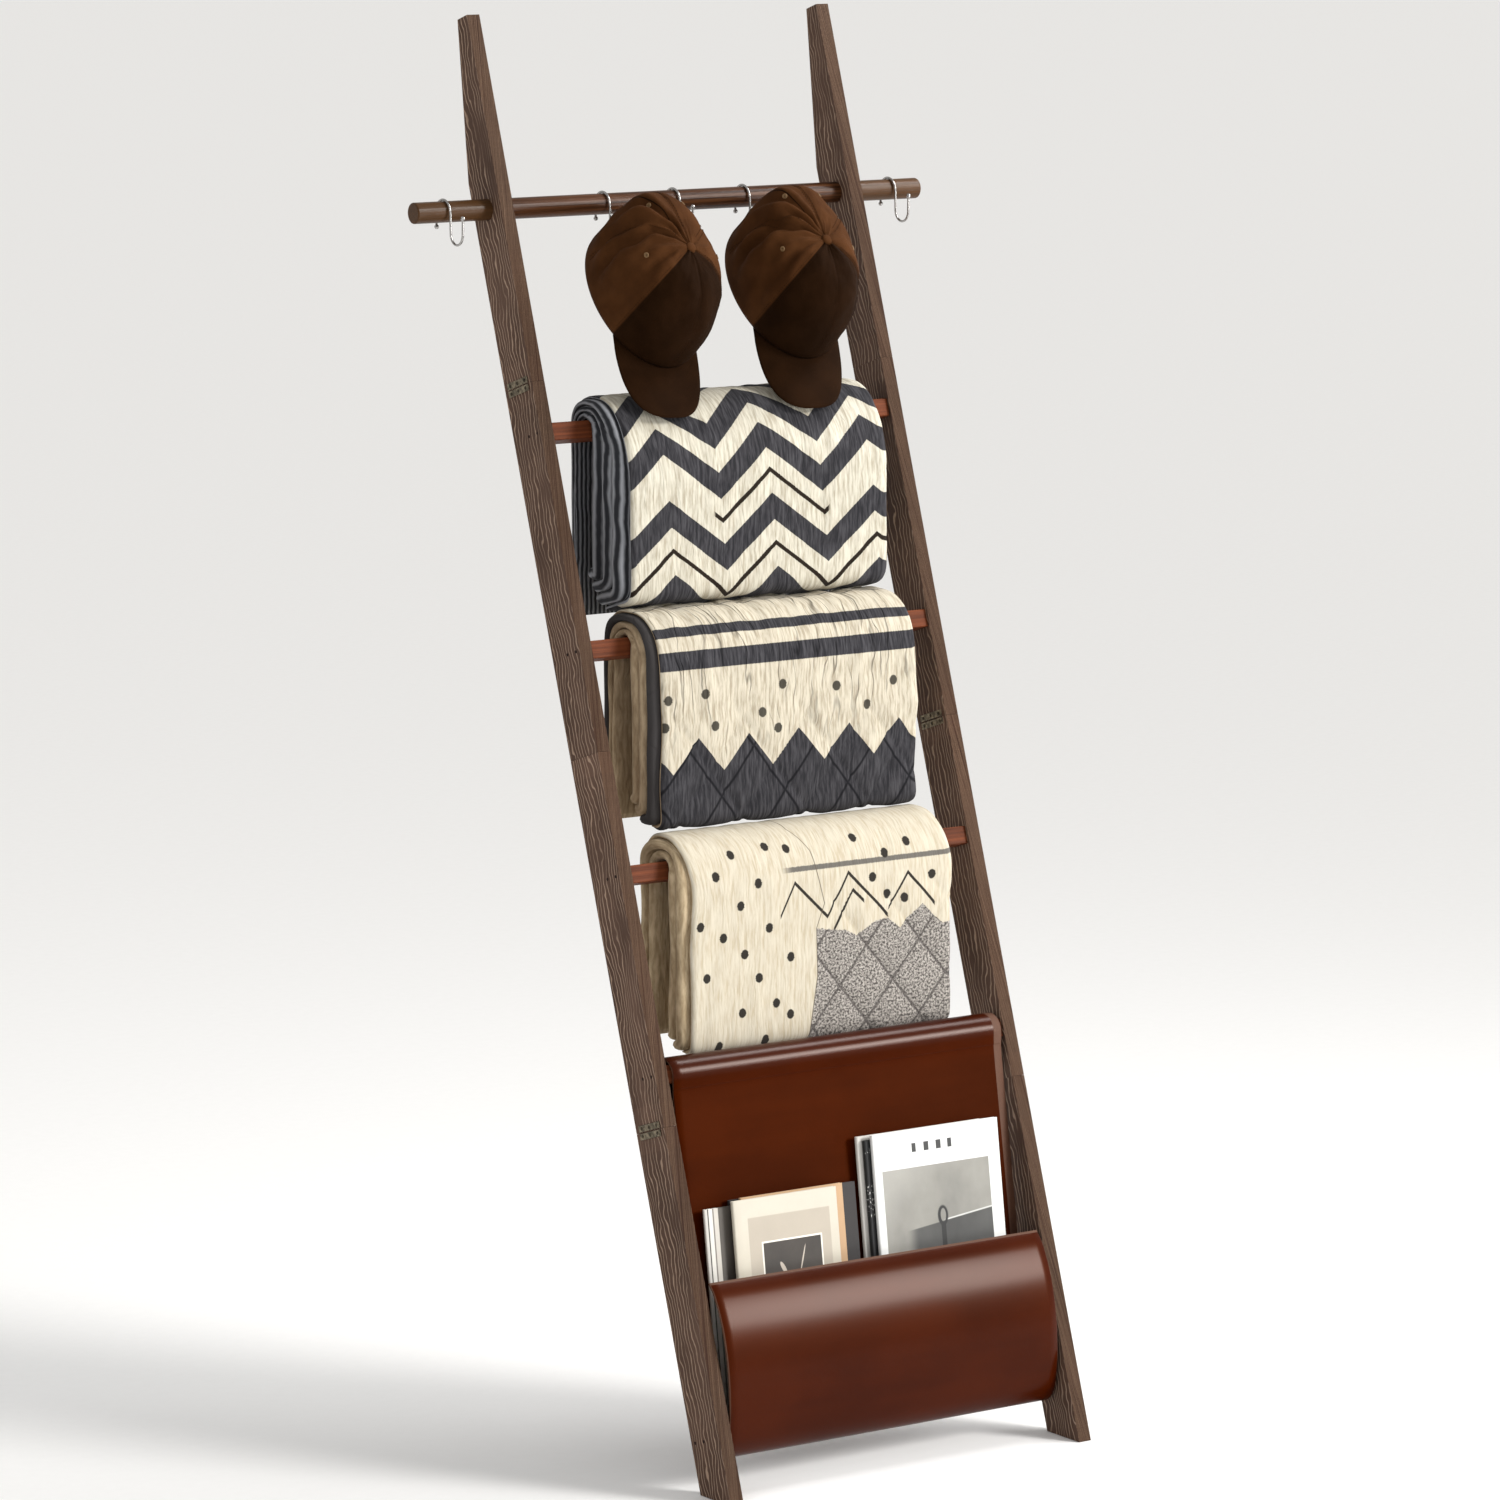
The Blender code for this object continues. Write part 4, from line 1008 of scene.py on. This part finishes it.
def rim_rise(a):
    """Height of the crown's lower edge at angle a: zero, or the arch at the back."""
    x = abs(CROWN_A * sin(a))
    if cos(a) > 0 or x >= ARCH_W / 2:
        return 0.0
    return ARCH_H * sqrt(1 - (x / (ARCH_W / 2)) ** 2)


def crown_columns():
    """Angles around the crown, closer together over the arch and at its feet."""
    foot = asin(ARCH_W / 2 / CROWN_A)
    arch = [pi + foot * sin(pi / 2 * k / 18) for k in range(-18, 19)]
    rest = np.linspace(pi + foot, 3 * pi - foot, 98)[1:-1]
    return arch + [float(a) for a in rest]


def build_crown(side, place, look, seed, rows=44):
    columns = crown_columns()
    points, uvs = [], []
    for inset in (0.0, CLOTH):
        for j in range(rows):
            for a in columns:
                start = rise_at(rim_rise(a))
                f = start + (pi / 2 - start) * (j / rows)
                lift = crown_relief(a, f, seed) if j else 0.0
                if j in (1, 2, 3) and not inset:
                    lift = lift * 0.3 + 0.0005
                p = crown_point(a, f, inset, lift)
                points.append(place @ p)
                uvs.append((a * CROWN_MEAN_R, f * 0.11))
        points.append(place @ crown_point(0.0, pi / 2, inset))
        uvs.append((0, 0.17))
    n = len(columns)
    layer = rows * n + 1
    faces = grid_faces(rows, n, 0, closed=True) + grid_faces(rows, n, layer, closed=True, flip=True)
    for k in range(n):
        faces.append(((rows - 1) * n + k, (rows - 1) * n + (k + 1) % n, rows * n))
        faces.append((layer + (rows - 1) * n + (k + 1) % n, layer + (rows - 1) * n + k, layer + rows * n))
        faces.append(((k + 1) % n, k, layer + k, layer + (k + 1) % n))
    add_piece(f"cap_{side}_shell", points, faces, [look], f"cap_{side}", "cap_cotton", f"cap_{side}_crown",
              uvs=uvs, sharp=None)


def build_brim(side, place, look, columns=56, rows=26):
    """Visor with rounded edges and rows of stitching pressed into the cloth."""
    points, uvs = [], []
    thick = 0.003
    for way in (0, 1):
        for j in range(rows + 1):
            v = j / rows
            for i in range(columns + 1):
                a = radians(-60 + 120 * i / columns)
                inner = Vector(((CROWN_A - 0.005) * sin(a), -(CROWN_B - 0.005) * cos(a)))
                w = sin(a) / sin(radians(60))
                reach = max(0.0, 1 - abs(w) ** 2.6) ** 0.62
                side_x = BRIM_HALF * sin(a * 1.5) if abs(w) < 1 else BRIM_HALF * w
                outer = Vector((side_x, -(CROWN_B * 0.5 + (CROWN_B * 0.5 + BRIM_OUT) * reach)))
                p = inner.lerp(outer, v)
                p.x -= 0.016 * v * v * reach
                edge = min(v, 1 - v, (1 - abs(w)) * 0.9) * 0.06
                half = thick / 2 * sqrt(max(0.02, 1 - (1 - min(1.0, edge / 0.0022)) ** 2))
                stitch = 0.00035 * exp(-(((v * 0.066 / 0.0085) % 1 - 0.5) / 0.09) ** 2)
                stitch *= 0.1 < v < 0.97
                away = (p - inner).length / BRIM_OUT
                mid = 0.0004 - 0.001 * min(1.0, v * 8) - thick / 2 - BRIM_DROOP * away * w * w - 0.004 * v * away
                points.append(place @ Vector((p.x, p.y, mid + (half - stitch) * (1 - 2 * way))))
                uvs.append((p.x, p.y))
    add_piece(f"cap_{side}_visor", points, sum(back_to_back(rows + 1, columns + 1), []), [look],
              f"cap_{side}", "cap_cotton", f"cap_{side}_brim", uvs=uvs, sharp=None)


def build_band(name, side, place, look, span, z_low, z_high, depth, thick, slot, *nodes, steps):
    """A flat band that follows the inside of the crown between two angles."""
    points = []
    for i in range(steps + 1):
        a = span[0] + (span[1] - span[0]) * i / steps
        for dr, z in ((0, z_low), (0, (z_low + z_high) / 2), (0, z_high), (thick, z_high),
                      (thick, (z_low + z_high) / 2), (thick, z_low)):
            r = cos(rise_at(z)) ** CROWN_ROUND
            points.append(place @ Vector((-((CROWN_A - depth) * r - dr) * sin(a),
                                          -((CROWN_B - depth) * r - dr) * cos(a), z)))
    faces = grid_faces(steps + 1, 6, closed=True)
    faces += [tuple(range(6))[::-1], tuple(steps * 6 + k for k in range(6))]
    add_piece(name, points, faces, [look], f"cap_{side}", slot, *nodes, uvs=[(p.x, p.z) for p in points], sharp=50)


def ring_mesh(points, faces, at, normal, radius, thick, around=20, sides=8):
    """Adds a torus to the lists."""
    normal = normal.normalized()
    e1 = normal.orthogonal().normalized()
    e2 = normal.cross(e1)
    base = len(points)
    for i in range(around):
        a = 2 * pi * i / around
        out = e1 * cos(a) + e2 * sin(a)
        for k in range(sides):
            b = 2 * pi * k / sides
            points.append(at + out * (radius + thick * cos(b)) + normal * (thick * sin(b)))
    for i in range(around):
        for k in range(sides):
            a, b = base + i * sides, base + (i + 1) % around * sides
            faces.append((a + k, a + (k + 1) % sides, b + (k + 1) % sides, b + k))


def build_eyelets(side, place, thread, seed):
    points, faces = [], []
    for s in SEAMS[1:5]:
        a, f = s + radians(30), 0.93
        e = 0.01
        at = crown_point(a, f, 0, crown_relief(a, f, seed))
        du = crown_point(a + e, f, 0, crown_relief(a + e, f, seed)) - at
        dv = crown_point(a, f + e, 0, crown_relief(a, f + e, seed)) - at
        normal = dv.cross(du)
        if normal.dot(at - Vector((0, 0, 0.04))) < 0:
            normal = -normal
        normal.normalize()
        for radius, thick in ((0.0026, 0.0007), (0.0012, 0.0006)):
            ring_mesh(points, faces, place @ (at + normal * 0.0003), (place.to_3x3() @ normal), radius, thick)
    add_piece(f"cap_{side}_eyelets", points, faces, [thread], f"cap_{side}", "cap_cotton")


def build_stitches(side, place, thread, seed):
    """Double rows of short stitches beside each seam of the crown."""
    points, faces = [], []
    for s in SEAMS:
        for off in (-0.0026, 0.0026):
            f = 0.1 if cos(s) > -0.9 else 0.62
            while f < 1.4:
                r = CROWN_MEAN_R * max(0.12, cos(f) ** CROWN_ROUND)
                ends = []
                for ff in (f, f + 0.022):
                    a = s + off / r
                    ends.append(place @ crown_point(a, ff, 0, crown_relief(a, ff, seed) + 0.00025))
                add_stitch(points, faces, ends[0], ends[1], place.to_3x3() @ crown_point(s, f).normalized())
                f += 0.036
    add_piece(f"cap_{side}_stitches", points, faces, [thread], f"cap_{side}", "cap_cotton")


def add_stitch(points, faces, a, b, up, half=0.00032):
    """A short six-sided thread from a to b."""
    t = (b - a).normalized()
    side = t.cross(up).normalized()
    base = len(points)
    mid = (a + b) / 2 + up * half
    for p, r in ((a, half * 0.5), (mid, half), (b, half * 0.5)):
        for k in range(6):
            c = 2 * pi * k / 6
            points.append(p + side * (r * cos(c)) + up * (r * sin(c)))
    for j in range(2):
        for k in range(6):
            o = base + j * 6
            faces.append((o + k, o + (k + 1) % 6, o + 6 + (k + 1) % 6, o + 6 + k))
    faces.append(tuple(base + k for k in range(6))[::-1])
    faces.append(tuple(base + 12 + k for k in range(6)))


def build_caps():
    # The crown's cloth, with painted shade on its front panels.
    look, thread = cap_cloth("cap_cotton", shade_front_panels=True), thread_look()
    # The visor takes the cap's cloth at about a fifth of its brightness: painted shade.
    dark, tonal = cap_cloth("cap_brim_cotton", 0.215), cap_cloth("cap_tonal_thread", 0.35)
    lining = cap_cloth("cap_sweatband", 0.6)
    metal = aged_metal("cap_slide", (0.05, 0.04, 0.03), (0.22, 0.19, 0.14), 0.35)
    half = asin((ARCH_W / 2 + 0.012) / CROWN_A)
    foot = asin(ARCH_W / 2 / CROWN_A)
    for side, seed in (("left", 1.0), ("right", 2.0)):
        place = cap_place(side)
        build_crown(side, place, look, seed)
        build_brim(side, place, dark)
        inset = CAD_CLOTH + 4 * GAP + 0.0004
        build_band(f"cap_{side}_strap_band", side, place, look, (pi - half, pi + half), 0.0004, STRAP_W,
                   inset, STRAP_T, "cap_cotton", f"cap_{side}_strap", steps=36)
        build_band(f"cap_{side}_sweatband", side, place, lining,
                   (pi + foot + 0.06, 3 * pi - foot - 0.06), 0.0004, 0.03,
                   CLOTH + 0.0006, 0.001, "cap_cotton", steps=90)
        build_band(f"cap_{side}_slide", side, place, metal, (pi + half * 0.42, pi + half * 0.6), 0.0002,
                   STRAP_W + 0.0006, inset - 0.0008, 0.0006, "leaf_brass", steps=4)
        build_eyelets(side, place, thread, seed)
        build_stitches(side, place, tonal, seed)
        build_button(side, place, look)


def build_button(side, place, look, around=28):
    tip = crown_point(0.0, pi / 2)
    rings = [(0.0066, -0.0006), (0.0068, 0.0006)] + [(r, h + 0.0008) for r, h in dome_profile(0.0064, 0.0026, 7)]
    turns = [2 * pi * k / around for k in range(around)]
    points = [place @ (tip + Vector((r * cos(a), r * sin(a), h))) for r, h in rings for a in turns]
    points.append(place @ (tip + Vector((0, 0, 0.0034))))
    last = (len(rings) - 1) * around
    faces = grid_faces(len(rings), around, closed=True) + [tuple(range(around))[::-1]]
    faces += [(last + k, last + (k + 1) % around, last + around) for k in range(around)]
    add_piece(f"cap_{side}_top_button", points, faces, [look], f"cap_{side}", "cap_cotton", f"cap_{side}_button",
              uvs=[(p.x, p.y) for p in points], sharp=None)


# ---- magazines ----
BACK_LEAN = atan2(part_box("magazine_cream")[1].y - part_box("magazine_cream")[0].y - 0.006,
                       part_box("magazine_cream")[1].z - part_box("magazine_cream")[0].z)


def paper_look(name, paint):
    """A printed cover: paint(graph, u, v) gives its colour; u right and v up from the lower left, in metres."""
    g = Graph(name)
    u, v, _ = g.coords("UV")
    fibre = g.noise((u * 260.0, v * 260.0), 3.0)
    wear = g.noise((u * 34.0, v * 34.0), 3.0)
    colour = g.shade(paint(g, u, v), 0.93 + wear * 0.12 + fibre * 0.03)
    return g.finish(Base_Color=colour, Roughness=0.42 + wear * 0.12, Normal=g.bump(fibre * 0.00003 + wear * 0.0002),
                    Specular_IOR_Level=0.45)


def rect(g, u, v, left, right, low, high, soft=0.0003):
    return g.band(u, left, right, soft) * g.band(v, low, high, soft)


def cream_cover(g, u, v):
    page = g.mix(g.ramp(v, 0.1, 0.26), (0.5, 0.455, 0.365), (0.57, 0.53, 0.445))
    page = g.mix(g.band(u, 0.02, 0.14, 0.0006) * g.ramp(v, 0.2445, 0.246, 1.0, 0.0), page, (0.435, 0.385, 0.315))
    frame_light = rect(g, u, v, 0.038, 0.1265, 0.02, 0.2145)
    photo = rect(g, u, v, 0.04, 0.1245, 0.02, 0.2125)
    shade = g.noise((u * 26.0, v * 26.0), 3.0)
    dark = g.mix(shade, (0.014, 0.011, 0.009), (0.06, 0.048, 0.038))
    leaf = g.spot(u + v * 0.5, v - u * 0.2, (0.157, 0.166), (0.003, 0.0085))
    twig = g.spot(u - v * 0.3, v + u * 0.1, (0.04, 0.197), (0.001, 0.017))
    bowl = g.spot(u, v, (0.082, 0.166), (0.011, 0.008))
    photo_colour = g.mix(g.high(leaf, twig, bowl), dark, (0.5, 0.44, 0.37))
    page = g.mix(frame_light, page, (0.86, 0.82, 0.74))
    return g.mix(photo, page, photo_colour)


TITLE_BARS = ((0.058, 0.0062), (0.076, 0.0075), (0.0945, 0.0075), (0.112, 0.0062))   # from the left, and width


def white_cover(g, u, v):
    white = (0.74, 0.745, 0.735)
    cloud = g.noise((u * 22.0, v * 16.0), 3.0)
    upper = g.mix(cloud, (0.145, 0.142, 0.13), (0.33, 0.32, 0.285))
    upper = g.mix(g.ramp(u + (0.28 - v), 0.02, 0.12, 0.75, 0.0), upper, (0.37, 0.36, 0.33))
    slope = v - u * 0.11
    lower = g.mix(cloud, (0.02, 0.02, 0.02), (0.085, 0.085, 0.08))
    table = g.ramp(slope, 0.1935, 0.195, 1.0, 0.0) * g.ramp(u, 0.04, 0.06)
    edge = g.band(slope, 0.1945, 0.1962, 0.0003) * g.ramp(u, 0.098, 0.104)
    photo = g.mix(table, upper, lower)
    photo = g.mix(edge, photo, (0.55, 0.55, 0.53))
    ring = g.spot(u, v, (0.0975, 0.212), (0.0078, 0.0125))
    ring = ring * (1.0 - g.spot(u, v, (0.098, 0.2125), (0.004, 0.0082)))
    stem = rect(g, u, v, 0.094, 0.101, 0.15, 0.204)
    photo = g.mix(g.high(ring, stem), photo, (0.008, 0.008, 0.008))
    page = g.mix(rect(g, u, v, 0.0115, 0.1725, 0.02, 0.276), white, photo)
    marks = g.high(*(rect(g, u, v, left, left + wide, 0.2945, 0.3055) for left, wide in TITLE_BARS))
    return g.mix(marks, page, (0.03, 0.03, 0.03))


def plain_cover(colour):
    def paint(g, u, v):
        return g.mix(g.noise((u * 9.0, v * 9.0), 2.0), tuple(c * 0.86 for c in colour), colour)
    return paint


def pages_look():
    g = Graph("paper_pages")
    u, v, _ = g.coords("UV")
    sheets = g.wave(v, 0.00045)
    shade = g.noise((u * 30.0, v * 2500.0), 2.0)
    return g.finish(Base_Color=g.shade(g.mix(shade, (0.52, 0.47, 0.4), (0.8, 0.77, 0.7)), 0.72 + sheets * 0.28),
                    Roughness=0.8, Normal=g.bump(sheets * 0.00015))


def build_magazine(node, thick, side, look, pages, slot, bow=0.0008, cover=0.00045, margin=0.0012):
    """Folded cover around a block of pages; the spine is at the left."""
    low, box_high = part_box(node)
    foot = Vector((low.x, low.y, low.z + thick * sin(BACK_LEAN)))
    up = Vector((0, sin(BACK_LEAN), cos(BACK_LEAN)))
    deep = Vector((0, cos(BACK_LEAN), -sin(BACK_LEAN)))
    high = (box_high.z - foot.z) / cos(BACK_LEAN)
    wide = box_high.x - low.x
    radius = min(thick / 2, 0.0022)

    def at(x, d, h):
        return foot + Vector((1, 0, 0)) * x + deep * d + up * h

    def section(inset):
        """(x, depth) round the cover from the front's free edge, by the spine, to the back's."""
        r = max(0.0004, radius - inset)
        turn = [(sin(radians(a)), cos(radians(a))) for a in (0, 30, 60, 90)]
        line = [(wide, inset)] + [(wide * k / 12, inset) for k in range(11, 0, -1)]
        line += [(inset + r - r * sa, inset + r - r * ca) for sa, ca in turn]
        line += [(inset + r - r * ca, thick - inset - r + r * sa) for sa, ca in turn]
        return line + [(wide * k / 12, thick - inset) for k in range(1, 13)]

    rows = 25
    points, uvs = [], []
    for inset in (0.0, cover):
        for j in range(rows):
            h = high * j / (rows - 1)
            for x, d in section(inset):
                front = max(0.0, 1 - d / (thick * 0.5))
                swell = bow * sin(pi * min(1, x / wide)) * sin(pi * h / high) * front
                points.append(at(x, d, h) + deep * (swell * 0.4))
                uvs.append((x, h))
    faces = sum(back_to_back(rows, len(section(0.0))), [])
    add_piece(node + "_cover", points, faces, [look], f"magazines_{side}", slot, node, uvs=uvs, sharp=40)
    d0, d1 = cover + 0.0001, thick - cover - 0.0001
    block = [(margin, d0), (wide - margin, d0 + 0.0002), (wide - margin - 0.0006, (d0 + d1) / 2),
             (wide - margin, d1 - 0.0002), (margin, d1)]
    m = len(block)
    faces = [tuple(range(m))[::-1], tuple(range(m, 2 * m))]
    faces += [(k, (k + 1) % m, m + (k + 1) % m, m + k) for k in range(m)]
    add_piece(node + "_pages", [at(x, d, h) for h in (margin, high - margin) for x, d in block], faces, [pages],
              f"magazines_{side}", slot, uvs=block + block, sharp=30)


BUNDLE_STRIPES = ((0.0, (0.62, 0.6, 0.56)), (0.0045, (0.05, 0.045, 0.04)), (0.0062, (0.7, 0.68, 0.63)),
                  (0.0118, (0.2, 0.18, 0.16)), (0.0138, (0.55, 0.52, 0.47)), (0.02, (0.08, 0.07, 0.06)))


def build_magazines():
    pages = pages_look()
    def bundle(g, u, v):
        tone = (0.34, 0.33, 0.31)
        for left, colour in BUNDLE_STRIPES:
            tone = g.mix(g.ramp(u, left - 0.0002, left + 0.0002), tone, colour)
        return tone

    def specked(g, u, v):
        marks = g.band(v, 0.222, 0.262, 0.001) + g.band(v, 0.3, 0.306, 0.0006)
        specks = g.ramp(g.noise((u * 700.0, v * 260.0), 2.0), 0.6, 0.66) * marks
        return g.mix(specks, (0.01, 0.01, 0.011), (0.6, 0.6, 0.58))

    tan, black, plain = (0.52, 0.33, 0.18), (0.018, 0.014, 0.014), (0.66, 0.64, 0.6)
    specs = (
        ("magazine_cream", 0.006, "left", "cover_cream", cream_cover, "cover_cream"),
        ("book_tan", 0.005, "left", "cover_tan", plain_cover(tan), "cover_tan"),
        ("magazine_grey", 0.0045, "left", "cover_grey", bundle, "cover_grey"),
        ("book_black", 0.005, "left", "cover_black", plain_cover(black), "cover_black"),
        ("magazine_white", 0.006, "right", "cover_white", white_cover, "cover_white"),
        ("book_dark_spine", 0.007, "right", "cover_dark_spine", specked, "cover_black"),
        ("magazine_plain", 0.006, "right", "cover_plain", plain_cover(plain), "cover_plain"),
    )
    for node, thick, side, name, paint, slot in specs:
        build_magazine(node, thick, side, paper_look(name, paint), pages, slot)


# ---- the whole object ----
build_camera()
build_studio()
dress_frame()
build_studs()
build_hooks()
build_quilts()
build_sling()
build_caps()
build_magazines()
